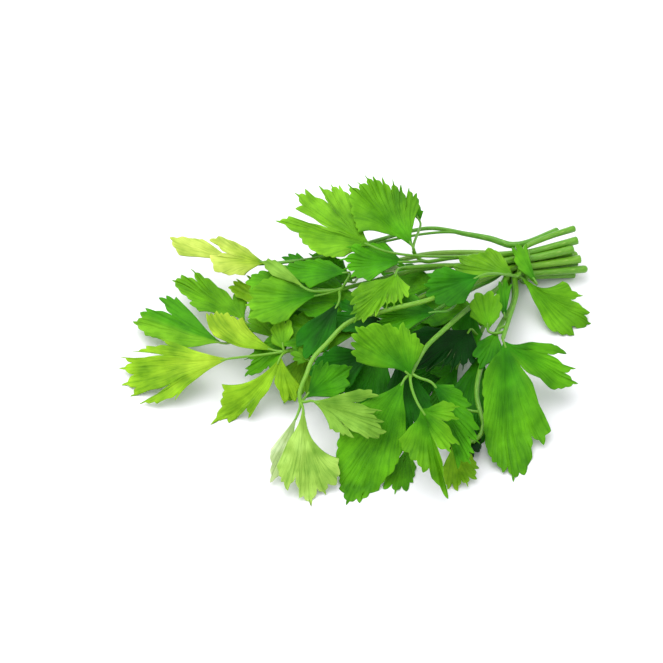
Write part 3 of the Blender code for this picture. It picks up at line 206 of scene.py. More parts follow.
# The leaflets' outlines and their places on the stems
# Each stem ends in a crown of cut leaflets, and some have more along it. An outline gives tooth tips
# and the notches between them by turns, as degrees off the midline and percent of the length.
OUTLINES = {
    "yellow_far": [(-14, 58), (-12, 62), (-10, 71), (-8, 77), (-5, 87), (-3, 90), (-1, 100), (7, 87),
                   (12, 81)],
    "yellow_near": [(-33, 37), (-30, 50), (-28, 66), (-26, 74), (-24, 87), (-21, 89), (-18, 100), (-9, 73),
                    (-4, 92), (4, 86), (12, 85), (15, 74), (19, 67), (24, 54), (35, 41)],
    "left_back": [(-48, 32), (-40, 34), (-32, 42), (-12, 36), (-2, 67), (1, 69), (4, 87), (8, 79), (11, 92),
                  (14, 91), (17, 100), (21, 87), (24, 80), (26, 67), (29, 68), (32, 59), (36, 54)],
    "left_mid": [(-26, 69), (-23, 69), (-21, 77), (-19, 76), (-16, 82), (-10, 68), (-6, 91), (-4, 89),
                 (-2, 94), (1, 92), (4, 100), (6, 93), (8, 91), (10, 84), (13, 82), (14, 70), (16, 64),
                 (19, 54), (26, 42)],
    "left_front": [(-25, 66), (-20, 60), (-17, 76), (-15, 76), (-13, 89), (-11, 51), (-9, 99), (-6, 94),
                   (-3, 100), (1, 94), (6, 100), (9, 92), (13, 96), (15, 58), (19, 91), (22, 78),
                   (24, 77), (26, 58), (29, 62)],
    "lime": [(-17, 58), (-9, 60), (-4, 76), (1, 79), (6, 91), (10, 91), (15, 100), (18, 92), (21, 80)],
    "strip": [(-45, 56), (-32, 74), (-23, 94), (-17, 87), (-11, 100), (-1, 89), (12, 81), (22, 59),
              (46, 41)],
    "centre_left": [(-31, 53), (-23, 63), (-17, 78), (-11, 83), (-6, 95), (0, 92), (5, 100), (10, 95),
                    (14, 100), (17, 90), (22, 86), (25, 76), (29, 74), (31, 63), (34, 53)],
    "dark_small": [(-20, 51), (-13, 60), (-8, 76), (-5, 77), (-2, 91), (2, 91), (7, 100), (12, 90),
                   (18, 92)],
    "pale_lobe": [(-13, 61), (-10, 76), (-6, 96), (-2, 96), (3, 100), (8, 82), (12, 70)],
    "dark_top": [(-28, 34), (-20, 42), (-14, 64), (-11, 70), (-9, 84), (-7, 85), (-4, 100), (3, 86),
                 (9, 82), (15, 68), (25, 63)],
    "top_left": [(-46, 46), (-39, 50), (-34, 70), (-32, 68), (-29, 77), (-26, 72), (-21, 82), (-17, 66),
                 (-13, 88), (-10, 86), (-6, 93), (-3, 83), (2, 85), (4, 43), (8, 88), (10, 89),
                 (13, 100), (18, 74), (26, 69), (33, 57), (40, 47), (44, 37), (48, 29)],
    "low_left": [(-52, 66), (-46, 67), (-41, 77), (-37, 79), (-33, 100), (-29, 85), (-25, 87), (-21, 66),
                 (-15, 71), (-5, 27), (18, 47), (26, 43), (31, 48), (37, 39), (48, 35)],
    "front_pale": [(-30, 64), (-26, 69), (-22, 78), (-20, 78), (-16, 85), (-12, 77), (-8, 91), (-5, 90),
                   (-1, 100), (4, 87), (9, 91), (12, 83), (17, 85), (20, 78), (23, 77), (25, 68), (29, 63)],
    "front_paddle": [(-10, 61), (-7, 66), (-4, 72), (0, 76), (5, 100), (8, 92), (11, 85), (14, 69),
                     (16, 52)],
    "pale_mitten": [(-42, 42), (-38, 44), (-32, 59), (-29, 59), (-25, 70), (-21, 60), (-18, 84), (-16, 84),
                    (-13, 94), (-10, 94), (-6, 100), (-2, 88), (1, 93), (4, 80), (8, 89), (14, 57),
                    (20, 84), (23, 76), (26, 76), (28, 66), (31, 60)],
    "behind_stalk": [(-36, 53), (-28, 62), (-21, 83), (-12, 82), (-4, 100), (4, 84), (10, 78), (15, 72),
                     (19, 74), (22, 67), (26, 72), (30, 61), (36, 60)],
    "little_light": [(-44, 60), (-30, 65), (-16, 82), (-5, 79), (10, 100), (16, 82), (23, 84), (30, 65),
                     (43, 66)],
    "front_dark": [(-32, 44), (-27, 50), (-22, 60), (-19, 63), (-17, 68), (-15, 69), (-12, 75), (-10, 77),
                   (-7, 83), (-4, 85), (-2, 92), (1, 93), (4, 100), (7, 94), (9, 95), (12, 86), (16, 82),
                   (18, 72), (22, 67), (25, 56), (30, 44)],
    "right_toothed": [(-70, 40), (-63, 42), (-56, 49), (-50, 49), (-44, 56), (-39, 56), (-33, 68),
                      (-27, 66), (-18, 100), (-12, 50), (0, 57), (5, 52), (12, 57), (24, 33),
                      (40, 43), (48, 36), (58, 42), (66, 30), (74, 25)],
    "right_dark": [(-26, 96), (-22, 92), (-17, 96), (-14, 86), (-11, 88), (-8, 76), (-4, 84), (-1, 70),
                   (4, 72), (10, 48), (18, 50), (22, 37), (27, 36), (32, 26), (38, 24)],
    "right_front": [(-58, 25), (-50, 36), (-44, 47), (-40, 60), (-37, 73), (-35, 78), (-32, 86), (-30, 86),
                    (-27, 93), (-25, 91), (-23, 100), (-20, 95), (-18, 96), (-16, 90), (-13, 85), (-10, 74),
                    (-6, 79), (-3, 73), (1, 72), (8, 25), (20, 50), (27, 55), (33, 61), (36, 52),
                    (42, 55), (46, 37), (52, 46), (56, 41), (60, 34)],
    "tie_leaf": [(-22, 55), (-21, 70), (-16, 84), (-9, 93), (-6, 83), (-2, 93), (5, 100), (7, 90),
                 (11, 92), (13, 71), (20, 77), (22, 63), (28, 57), (30, 50)],
    "bundle_bright": [(-36, 22), (-31, 34), (-26, 43), (-21, 48), (-16, 56), (-6, 56), (2, 68), (7, 74),
                      (11, 92), (16, 82), (21, 100), (25, 76), (29, 80), (32, 67), (36, 59)],
    "bundle_dark": [(-36, 62), (-31, 70), (-26, 92), (-20, 88), (-14, 99), (-9, 94), (-4, 100), (1, 88),
                    (8, 90), (14, 77), (21, 76), (27, 63), (37, 53)],
    "cupped_small": [(-45, 43), (-40, 52), (-34, 74), (-29, 78), (-24, 96), (-18, 93), (-12, 100), (-1, 94),
                     (9, 100), (16, 86), (24, 82), (32, 64), (44, 56)],
    "toothed_dark": [(-20, 93), (-14, 88), (-8, 100), (-4, 89), (0, 96), (3, 76), (7, 74), (11, 57),
                     (17, 52)],
    "middle_light": [(-56, 55), (-51, 64), (-46, 78), (-42, 76), (-38, 86), (-35, 82), (-31, 94), (-27, 90),
                     (-23, 100), (-20, 88), (-16, 90), (-12, 70), (-8, 74), (-4, 52), (1, 60), (6, 50),
                     (13, 57), (19, 44), (27, 50), (33, 38), (41, 42), (49, 32), (62, 28)],
    "middle_cup": [(-48, 44), (-39, 46), (-31, 58), (-24, 57), (-17, 73), (-10, 68), (-3, 76), (5, 77),
                   (11, 87), (18, 88), (23, 100), (26, 93), (30, 97), (33, 89), (36, 92), (39, 84),
                   (43, 86), (46, 77), (50, 75)],
    "top_right": [(-44, 44), (-42, 48), (-39, 60), (-35, 58), (-31, 67), (-27, 58), (-24, 70), (-21, 66),
                  (-18, 77), (-14, 71), (-11, 83), (-9, 79), (-6, 90), (-4, 86), (-2, 96), (1, 89),
                  (4, 96), (7, 90), (10, 100), (13, 90), (16, 89), (20, 80), (25, 78), (31, 68), (40, 62)],
    "top_curl": [(-29, 46), (-17, 48), (-6, 74), (0, 76), (6, 100), (15, 66), (29, 38)],
    "under_top": [(-38, 42), (-27, 50), (-18, 70), (-12, 74), (-6, 93), (-1, 84), (4, 100), (9, 88),
                  (14, 96), (18, 81), (23, 85), (28, 68), (37, 60)],
    "under_pale": [(-42, 69), (-36, 80), (-28, 100), (-18, 72), (0, 66), (18, 36), (44, 29)],
    "table_right": [(-36, 76), (-28, 78), (-21, 96), (-16, 90), (-10, 100), (-3, 88), (3, 97), (9, 85),
                    (16, 91), (22, 75), (28, 77), (32, 56), (38, 47)],
    "table_left": [(-30, 74), (-26, 82), (-22, 98), (-15, 90), (-8, 100), (-2, 86), (5, 90), (10, 74),
                   (15, 74), (21, 54), (28, 47)],
}


def leaf(outline, level, join, base, length, heading, tones, lean=(0.0, 0.3), **more):
    """One leaflet: where on its stem its stalk starts, where its blade starts, and how it is held.

    level is its turn in the laying; join is 0 at the stem's cut end and 1 at its other end; base is
    (u, v), and heading is in degrees in the sight plane. tones are those of its base and of its teeth,
    or with across those of its two sides, which then paint light on one half and shade on the other,
    as on a folded blade. lean is the rise of the blade for each millimetre across and up the sight
    plane. neck gives the parts of their angles that its two sides keep at the base, waist the part of
    its width that is left there and bend the degrees that its midline turns. base_height is given
    where the blade doesn't start at its stem's height.
    """
    spec = dict(
        outline=outline, level=level, join=join, base=base, length=length, heading=heading,
        tones=tones, lean=lean, neck=(0.9, 0.9), waist=0.6, bend=0.0, base_height=None, across=False,
    )
    spec.update(more)
    return spec


def broad_leaf(*place, **more):
    """A leaflet that is broad from its base on, as most are that close the middle of the bunch."""
    return leaf(*place, waist=0.9, **more)


# The leafy stems: slot in the tie, turn in the laying, the points (u, v, z) that the stem passes after
# the tie, and its leaflets. A girth is the part of the usual radius that a slim one has beyond the tie.
# Leaflets toned shade are near-black sheets deep in the bunch: painted shade, not a leaf's own green.
LEAFY_STEMS = {
    "stem_left_back": dict(
        slot="back_lower", level=10,
        path=[(61, 32, 10), (36, 31, 13), (8, 22, 14), (-17, 9, 13), (-31, 2, 12)],
        leaves=[
            leaf("left_back", 12, 1.0, (-34.9, 3.6), 36, 132, "fresh", (0.05, 0.15), neck=(0.9, 0.7)),
            broad_leaf("left_mid", 12.5, 0.88, (-20, 10), 24, 155, "bright lime", (0.05, 0.2)),
            # left_mid's two sides: one painted lighter and one darker, as painted light and shade across a
            # fold.
            leaf("left_mid", 13, 1.0, (-44.4, -4.8), 39, 161, "mid bright", (0.12, 0.2), neck=(1.0, 1.0),
                 across=True),
            broad_leaf("behind_stalk", 14, 0.9, (-22, -3.5), 20, 128, "bright fresh", (0.0, 0.3)),
            broad_leaf("left_mid", 15, 0.75, (6, 17.5), 36, 170, "dark deep", (0.05, 0.3)),
            broad_leaf("centre_left", 15.2, 0.72, (5, 12), 29, 203, "dark deep", (0.05, 0.35)),
            broad_leaf("under_top", 15.4, 0.66, (9, 20), 24, 152, "mid", (0.05, 0.3)),
        ],
    ),
    "stem_left": dict(
        slot="inner_back", level=16,
        path=[(60, 25, 12), (38, 15, 15), (18, 6, 17), (0, -3, 17), (-18, -8, 15)],
        leaves=[
            leaf("left_back", 15.6, 0.88, (-14, 1), 29, -154, "mid green", (0.1, 0.2), base_height=9.0),
            broad_leaf("behind_stalk", 15.7, 0.9, (-9, -8), 24, -112, "lime bright", (0.0, 0.33),
                       base_height=9.0),
            broad_leaf("centre_left", 15.8, 0.65, (12, -0.5), 32, 175, "fresh green", (0.05, 0.2)),
            broad_leaf("centre_left", 16.2, 0.7, (13, 13), 28, 174, "green mid", (0.05, 0.2)),
            leaf("little_light", 17, 0.93, (-7.5, -12.3), 10, 150, "fresh", (0.0, 0.5)),
            leaf("left_front", 19, 1.0, (-42.0, -11.1), 45, -172, "yellow_lime lime", (0.18, 0.3),
                 neck=(0.9, 0.8), waist=0.8),
            broad_leaf("low_left", 18, 1.0, (-20.7, -10.3), 40, -103, "lime", (0.05, 0.5), neck=(0.6, 0.9)),
            leaf("lime", 19.5, 1.0, (-22.7, -7.9), 33, 160, "lime yellow_lime", (0.0, 0.25), bend=-25,
                 waist=0.75),
            leaf("strip", 19.2, 1.0, (-19.4, -7.9), 14, 104, "fresh bright", (0.0, 0.5)),
        ],
    ),
    "stem_back": dict(
        slot="outside", level=20, girth=0.8,
        path=[(66, 37.3, 11.5), (55, 39.6, 13), (39, 42, 16), (18, 37, 18.5), (-3, 30.5, 18.5),
              (-22, 28, 18)],
        leaves=[
            leaf("yellow_far", 21, 1.0, (-38.3, 28.0), 30, 160, "yellow", (0.03, 0.2), neck=(1.0, 0.9)),
            leaf("yellow_near", 22, 0.35, (-26.1, 28.0), 26, 176, "yellow_lime yellow", (0.03, 0.2),
                 neck=(0.8, 0.6)),
        ],
    ),
    "stem_inner": dict(
        slot="back_bottom", level=24, girth=0.9,
        path=[(66, 21.5, 7), (57, 17, 9.5), (47, 11.2, 13), (30, 0.2, 15.5), (20, -6, 15.5)],
        leaves=[
            broad_leaf("front_pale", 22, 1.0, (21, -5), 33, -105, "deep dark", (0.0, 0.25)),
            # The next three, toned shade, are near-black sheets in the middle of the bunch: painted shade.
            broad_leaf("centre_left", 22.5, 1.0, (17.5, -8), 30, -157, "shade dark", (0.05, 0.25)),
            broad_leaf("left_mid", 22.7, 0.95, (22, 4), 28, 176, "shade dark", (0.05, 0.3)),
            broad_leaf("front_pale", 22.8, 0.85, (28, -9), 34, -83, "shade dark", (0.0, 0.25)),
            broad_leaf("centre_left", 22.6, 0.45, (44, 20), 26, 174, "green mid", (0.05, 0.25)),
            broad_leaf("under_top", 23, 0.55, (43, 8), 27, 178, "dark mid", (0.1, 0.3)),
        ],
    ),
    "stem_low_middle": dict(
        slot="middle_bottom", level=25,
        path=[(73.2, 19, 4.6), (68.5, 11, 6), (63, 3, 8), (60, -3, 9)],
        leaves=[
            # Toned shade: a near-black sheet in the hollow of the bunch, painted shade.
            broad_leaf("middle_light", 26, 1.0, (57, 1), 34, -128, "shade", (0.0, 0.3)),
            broad_leaf("front_pale", 27, 1.0, (61, -8), 44, -99, "deep dark", (0.0, 0.22)),
            broad_leaf("left_mid", 9.5, 0.9, (56, 6), 34, 187, "mid deep", (0.05, 0.2), base_height=7.5),
            broad_leaf("left_back", 9.7, 1.0, (55, -5), 36, -152, "dark", (0.05, 0.2), base_height=7.5),
            broad_leaf("left_back", 9.8, 1.0, (52, -13), 30, -128, "dark deep", (0.05, 0.2),
                       base_height=6.0),
            broad_leaf("centre_left", 9.9, 0.9, (60, 9), 28, 170, "green mid", (0.05, 0.2),
                       base_height=7.0),
            broad_leaf("under_top", 25.5, 0.6, (57.5, 11.5), 22, -108, "dark deep", (0.0, 0.25),
                       base_height=8.0),
        ],
    ),
    "stem_low_front": dict(
        slot="front_bottom", level=30,
        path=[(73.5, 12, 6), (68.5, 2.5, 9), (62, -11, 11), (59.2, -25, 10.5), (62, -39, 7), (58, -45, 4)],
        leaves=[
            leaf("table_right", 31, 1.0, (49.2, -44.3), 21, -74, "bright lime", (0.0, 0.3),
                 base_height=3.0),
            broad_leaf("table_left", 32, 1.0, (31.2, -46.4), 21, -97, "mid green", (0.0, 0.35),
                       base_height=2.2),
            # Toned shade: a near-black sheet under the front leaves, painted shade.
            broad_leaf("front_pale", 30.5, 0.9, (54, -32), 22, -88, "shade", (0.0, 0.3), base_height=6.0),
        ],
    ),
    "stem_right_front": dict(
        slot="front_lower", level=33,
        path=[(75, 15, 10), (72, 4, 15), (70.1, -2.5, 18)],
        leaves=[
            leaf("right_front", 34, 1.0, (70.1, -3.7), 58, -63, "deep green", (-0.1, 0.33),
                 neck=(1.0, 1.0)),
            leaf("behind_stalk", 32.5, 0.9, (68, 1), 18, -112, "mid deep", (0.0, 0.3)),
            leaf("cupped_small", 82, 0.95, (64.1, 0.0), 17, 98, "green fresh", (0.0, 0.6)),
            broad_leaf("toothed_dark", 81, 0.75, (71.0, 4.7), 17, 99, "dark mid", (0.0, 0.5)),
        ],
    ),
    "stem_centre_left": dict(
        slot="middle_upper", level=36,
        path=[(58, 27, 13.5), (36, 25, 19), (15, 20, 24.5), (3, 17, 27.5)],
        leaves=[
            leaf("dark_small", 37, 1.0, (-14.6, 18.5), 21, 167, "green", (0.0, 0.2)),
            leaf("centre_left", 38, 1.0, (-3.8, 15.1), 32, -178, "deep fresh", (0.05, 0.3),
                 neck=(0.9, 0.7)),
            leaf("dark_top", 39, 1.0, (7.7, 23.9), 28, 176, "deep mid", (0.05, 0.3)),
            leaf("pale_lobe", 40, 1.0, (-9.9, 17.2), 22, 146, "dull", (0.0, 0.35), neck=(0.8, 0.8)),
            # Toned shade: a near-black sheet inside the bunch, painted shade.
            broad_leaf("tie_leaf", 35, 1.0, (3, 12), 27, -125, "shade dark", (0.0, 0.4)),
        ],
    ),
    "stem_front": dict(
        slot="inner_front", level=45,
        path=[(69, 18, 12), (57.3, 10.4, 17), (45.5, 0.2, 21.5), (38.2, -7, 24), (32, -18, 25)],
        leaves=[
            leaf("front_dark", 46, 1.0, (30.0, -19.2), 57, -119, "mid green", (0.0, 0.5), neck=(0.95, 1.0)),
            leaf("right_dark", 47, 1.0, (40.4, -20.5), 39, -47, "dark mid", (0.0, 0.4)),
            leaf("right_toothed", 48, 1.0, (36.3, -31.2), 39, -55, "mid fresh", (0.0, 0.45)),
            # middle_cup's teeth are painted lighter: a painted highlight on its folded top edge.
            leaf("middle_cup", 60, 1.0, (32.6, -18.4), 31, 115, "deep fresh", (0.0, 0.75), neck=(1.0, 1.0)),
        ],
    ),
    "stem_front_left": dict(
        slot="front_upper", level=50, girth=0.95,
        path=[(61, 21, 17), (40, 13, 23), (24, 9, 26.5), (7.5, 4, 29), (-2, -5, 28), (-7.5, -11, 26),
              (-10.4, -18, 23), (-13, -25, 19.5), (-12.4, -30, 17)],
        leaves=[
            leaf("behind_stalk", 52, 1.0, (-11.2, -27.5), 24, 38, "deep mid", (0.0, 0.4)),
            leaf("front_paddle", 53, 1.0, (-13.5, -33.0), 31, -117, "pale", (0.0, 0.4), neck=(0.8, 0.9)),
            leaf("front_pale", 54, 1.0, (-11.8, -30.7), 41, -84, "pale_lime", (0.0, 0.42),
                 neck=(0.95, 0.15)),
            leaf("pale_mitten", 55, 1.0, (-8.1, -28.3), 33, -16, "dull", (0.1, 0.4), neck=(0.7, 0.9),
                 waist=0.75),
        ],
    ),
    "stem_middle": dict(
        slot="front_top", level=62,
        path=[(61, 27, 17), (44, 27, 23), (30, 26, 28)],
        leaves=[
            leaf("under_pale", 63, 1.0, (28.8, 25.9), 12, 184, "pale", (0.0, 0.3)),
            leaf("middle_light", 65, 1.0, (26.6, 24.4), 27, -107, "fresh bright", (0.05, 0.4),
                 neck=(0.9, 0.8)),
        ],
    ),
    "stem_top": dict(
        slot="back_top", level=70, girth=0.85,
        path=[(64, 31, 17), (50, 30, 21), (38, 28.5, 25.5), (33.5, 32.5, 30)],
        leaves=[
            leaf("under_top", 71, 0.92, (30.0, 28.4), 27, 172, "deep mid", (0.05, 0.3)),
            leaf("top_left", 73, 0.42, (16.5, 34.8), 41, 152, "fresh bright", (0.05, 0.3), neck=(0.8, 0.8)),
            leaf("top_curl", 74, 1.0, (36.3, 44.4), 10, 104, "deep mid", (0.0, 0.5)),
            leaf("top_right", 75, 1.0, (33.5, 34.1), 38, 125, "mid fresh", (0.0, 0.45), neck=(0.7, 0.6)),
        ],
    ),
}

# The stem wound round the bundle, and its own leaflets.
TIE_STEM = dict(
    level=80,
    leaves=[
        leaf("tie_leaf", 83, 1.0, (76.3, 22.9), 36, -38, "green fresh", (-0.1, 0.35), neck=(0.95, 0.05)),
        broad_leaf("bundle_dark", 84, 1.0, (61.0, 22.8), 24, -158, "dark deep", (0.05, 0.4)),
        leaf("bundle_bright", 85, 1.0, (74.4, 22.8), 28, 150, "fresh bright", (-0.1, 0.3)),
        broad_leaf("toothed_dark", 86, 1.0, (84, 19.5), 19, 125, "mid green", (0.0, 0.4)),
    ],
)

# The droop of a blade's tip and the height of its ruffles, as shares of its length, and the turns of a
# ruffle for each turn round its base. Inside its cut edge a blade has rings at these parts of the reach,
# the long ones if it is longer than LONG_BLADE.
DROOP = 0.08
LAID_RUFFLE = 0.02
RUFFLE_TURNS = 9.0
RINGS = {"long": (0.38, 0.8), "short": (0.6,)}
LONG_BLADE = 30


def blade_form(spec, angle, reach, share):
    """Where points of a leaflet are seen, and their heights over its base, before it is laid.

    angle is in degrees off the midline, reach a share of the length and share the part of the way to the
    cut edge. The sides close in towards the base by the neck, the midline turns by the bend, and the
    blade leans, and droops and ruffles with the square of its reach.
    """
    outline = np.array(OUTLINES[spec["outline"]], float)
    low, high = outline[0, 0], outline[-1, 0]
    side = (angle - low) / (high - low)
    neck = spec["neck"][0] + (spec["neck"][1] - spec["neck"][0]) * side
    turn = angle * (neck + (1 - neck) * share ** 2) + spec["bend"] * reach ** 2
    heading = np.radians(spec["heading"] + turn)
    length = spec["length"]
    du, dv = length * reach * np.cos(heading), length * reach * np.sin(heading)
    z = spec["lean"][0] * du + spec["lean"][1] * dv - DROOP * length * reach ** 2
    ruffle = np.sin(np.radians(RUFFLE_TURNS * angle) + spec["heading"])
    return spec["base"][0] + du, spec["base"][1] + dv, z + LAID_RUFFLE * length * reach ** 2 * ruffle


def blade_net(spec):
    """Angles, reaches, shares and triangles of a leaflet: its cut edge, and sparse rings inside it.

    A ring has every third outline angle, and stays inside the deepest notch beside each of its points.
    """
    outline = np.array(OUTLINES[spec["outline"]], float)
    count = len(outline)
    sparse = np.unique(np.append(np.arange(0, count, 3), count - 1))
    inner = np.array([outline[max(0, k - 3):k + 4, 1].min() for k in sparse]) / 100
    rings = RINGS["long" if spec["length"] > LONG_BLADE else "short"]
    angle = np.concatenate([[0.5 * (outline[0, 0] + outline[-1, 0])]]
                           + [outline[sparse, 0]] * len(rings) + [outline[:, 0]])
    reach = np.concatenate([[0.0]] + [inner * ring for ring in rings] + [outline[:, 1] / 100])
    whole = np.concatenate([[1.0]] + [outline[sparse, 1] / 100] * len(rings) + [outline[:, 1] / 100])
    size = len(sparse)
    triangles = [(0, 1 + k, 2 + k) for k in range(size - 1)]
    for ring in range(len(rings) - 1):
        low, high = 1 + ring * size, 1 + (ring + 1) * size
        for k in range(size - 1):
            triangles.append((low + k, high + k, high + k + 1))
            triangles.append((low + k, high + k + 1, low + k + 1))
    last, edge = 1 + (len(rings) - 1) * size, 1 + len(rings) * size
    for k in range(size - 1):
        middle = (sparse[k] + sparse[k + 1] + 1) // 2
        for m in range(sparse[k], sparse[k + 1]):
            triangles.append((last + k + (m >= middle), edge + m, edge + m + 1))
        triangles.append((last + k, edge + middle, last + k + 1))
    return angle, reach, reach / whole, np.array(triangles)


# How the bunch lies
# Leaves and stems lie on each other from the table up. Each leaflet keeps the place where it is seen
# and is bent, as a smooth sheet held at its stalk, until it clears everything laid before it.
# The first four are the thickness that a blade takes up and the gaps kept under a blade, under a stem or
# stalk, and between that and the table. Then come a stalk's radii at its stem and at its blade, and how
# far it runs on inside the blade.
BLADE_ROOM = 0.7
CLEARANCE = 0.32
TUBE_CLEARANCE = 0.4
TABLE_GAP = 0.05
STALK_RADIUS = 0.62
STALK_END_RADIUS = 0.45
INSIDE_BLADE = 3.0
# A stalk over less than SHORT_STALK is straight. A longer one is drawn out along the stem and the blade at
# its ends by STALK_PULL of the gap, with a point about every STALK_STEP. With no more than CLOSE_POINTS
# points it isn't laid, and its leaflet counts as close to the stem.
SHORT_STALK = 1.5
STALK_PULL = 0.7
STALK_STEP = 3.5
CLOSE_POINTS = 3
# How far from the tie a stem is held fast, all round and to the left, and how near to its own base a
# blade may lie in other blades of its stem.
TIE_REACH = 16.0
TIE_LEFT = 14.0
OWN_CLEAR = 8.0
# How a leaflet gives way: the steepest bend from its base, how firmly its stalk holds it and how far it
# may be raised whole. The pairs are for a leaflet on a long stalk and for one close to its stem. PATCH
# gives the degrees of its patches across and along it, the next two its resistance to tilting and to
# being raised, and EDGE_ON the least cosine used for its thickness where it is seen edge on.
MAX_SLOPE = 0.7
STALK_HOLD = (0.04, 0.6)
MAX_RISE = (12.0, 3.0)
PATCH = (4, 4)
PATCH_TILT = 0.08
PATCH_RAISE = 0.02
EDGE_ON = 0.45
# How a stem or stalk gives way: the steepest rise from where it is held, its resistance to bending, to
# sloping and to being raised, and to that where it is pinned. Its upper side is sampled at these steps,
# and stands off its middle by TUBE_TOP of its radius.
TUBE_SLOPE = 1.1
TUBE_BEND = 4.0
TUBE_TILT = 0.05
TUBE_RAISE = 0.01
PINNED = 1e4
TUBE_SAMPLE = 0.35
TUBE_TOP = 0.85
# Settling ends after this many turns, or when no row is further off than this. A row weaker than
# WEAK_ROW of the strongest is left out.
SETTLE_TURNS = 500
NEAR_ENOUGH = 0.004
WEAK_ROW = 1e-4
# The grid over the sight plane on which the laid heights are kept, how far outside a triangle the middle
# of a cell may be that counts as under it, and the height of an empty cell.
CELL = 0.5
MARGIN = 0.3
GRID_LOW = np.array((-105.0, -85.0))
GRID_SHAPE = (460, 320)
NOTHING = -50.0


def sight(points):
    """Where points are seen: u, v and their height z, the inverse of seen."""
    toward = EYE / EYE_DISTANCE
    ray = points - EYE
    hit = EYE + ray * (-EYE_DISTANCE / (ray @ toward))[..., None]
    v = hit[..., 1] * math.sin(EYE_ELEVATION) + hit[..., 2] * math.cos(EYE_ELEVATION)
    return hit[..., 0], v, points[..., 2]


def cells_of(uv):
    """Flat grid indices of points of the sight plane."""
    at = np.clip(((uv - GRID_LOW) / CELL).astype(int), 0, np.array(GRID_SHAPE) - 1)
    return at[:, 0] * GRID_SHAPE[1] + at[:, 1]


def cover(uv, triangles):
    """Grid cells under a flat net: their indices, the triangle over each and its corners' weights."""
    cells, over, weights = [], [], []
    for number, triangle in enumerate(triangles):
        p = uv[triangle]
        low = np.floor((p.min(axis=0) - GRID_LOW - MARGIN) / CELL).astype(int)
        high = np.ceil((p.max(axis=0) - GRID_LOW + MARGIN) / CELL).astype(int)
        i, j = np.meshgrid(np.arange(low[0], high[0] + 1), np.arange(low[1], high[1] + 1), indexing="ij")
        at = GRID_LOW + CELL * (np.stack((i.ravel(), j.ravel()), axis=1) + 0.5)
        edge = np.stack((p[1] - p[0], p[2] - p[0]), axis=1)
        area = abs(np.linalg.det(edge))
        if area < 1e-6:
            continue
        st = (at - p[0]) @ np.linalg.inv(edge).T
        w = np.stack((1 - st.sum(axis=1), st[:, 0], st[:, 1]), axis=1)
        sides = np.linalg.norm(p[[2, 0, 1]] - p[[1, 2, 0]], axis=1)
        slack = MARGIN * sides / area
        inside = (w > -slack).all(axis=1)
        cells.append((i.ravel() * GRID_SHAPE[1] + j.ravel())[inside])
        over.append(np.full(inside.sum(), number))
        held = np.clip(w[inside], 0, 1)
        weights.append(held / held.sum(axis=1, keepdims=True))
    return np.concatenate(cells), np.concatenate(over), np.vstack(weights)


class Pile:
    """Top heights of everything laid so far, kept apart for each leafy stem."""

    def __init__(self, names):
        self.blades = {name: np.full(GRID_SHAPE, NOTHING) for name in names}
        self.stems = {name: np.full(GRID_SHAPE, NOTHING) for name in names}

    def under(self, own, base, with_stems):
        """Heights that a piece of the leafy stem own has to clear, widened by a cell all round.

        A blade, which has a base, clears its own stem's blades too, but not close to its base.
        """
        layers = [self.blades[n] for n in self.blades if n != own]
        if with_stems:
            layers += [self.stems[n] for n in self.stems if n != own]
        top = np.max(layers, axis=0)
        if base is not None:
            u = GRID_LOW[0] + CELL * (np.arange(GRID_SHAPE[0]) + 0.5)
            v = GRID_LOW[1] + CELL * (np.arange(GRID_SHAPE[1]) + 0.5)
            away = np.hypot(*np.meshgrid(u - base[0], v - base[1], indexing="ij")) > OWN_CLEAR
            top = np.where(away, np.maximum(top, self.blades[own]), top)
        for axis in (0, 1):
            top = np.maximum(top, np.maximum(np.roll(top, 1, axis), np.roll(top, -1, axis)))
        return top.ravel()

    def add(self, layer, cells, tops):
        """Raises a layer's cells to the tops of what was laid on them."""
        np.maximum.at(layer.reshape(-1), cells, tops)


def settle(rows, lack, stiffness):
    """The least bending x that makes rows @ x at least lack, where bending is x @ stiffness @ x.

    One multiplier for each row is raised or let down by turns, always the one that is furthest off.
    """
    inverse = np.linalg.inv(np.linalg.cholesky(stiffness))
    pull = rows @ inverse.T
    norm = (pull ** 2).sum(axis=1)
    held = norm > WEAK_ROW * norm.max()
    pull, lack, norm = pull[held], lack[held], norm[held]
    force = np.zeros(len(norm))
    y = np.zeros(pull.shape[1])
    for _ in range(SETTLE_TURNS):
        step = np.maximum((lack - pull @ y) / norm, -force)
        worst = np.argmax(np.abs(step) * np.sqrt(norm))
        if abs(step[worst]) * np.sqrt(norm[worst]) < NEAR_ENOUGH:
            break
        force[worst] += step[worst]
        y += step[worst] * pull[worst]
    return inverse.T @ y


def bernstein(t, degree):
    """The Bernstein polynomials of a degree at t, one column each."""
    t = np.asarray(t, float)[:, None]
    k = np.arange(degree + 1)
    choose = np.array([math.comb(degree, int(i)) for i in k])
    return choose * t ** k * (1 - t) ** (degree - k)


def line_stiffness(count):
    """Resistance of a row of heights to bending, and a little to sloping and to being raised at all."""
    second = np.diff(np.eye(count), n=2, axis=0)
    first = np.diff(np.eye(count), axis=0)
    return TUBE_BEND * second.T @ second + TUBE_TILT * first.T @ first + TUBE_RAISE * np.eye(count)


def patch_basis(side, reach):
    """Smooth patches over a leaflet's side, from 0 to 1, and its reach, that are nothing at its stalk."""
    across = bernstein(side, PATCH[0])
    along = bernstein(reach, PATCH[1])[:, 1:]
    return (across[:, :, None] * along[:, None, :]).reshape(len(across), -1)


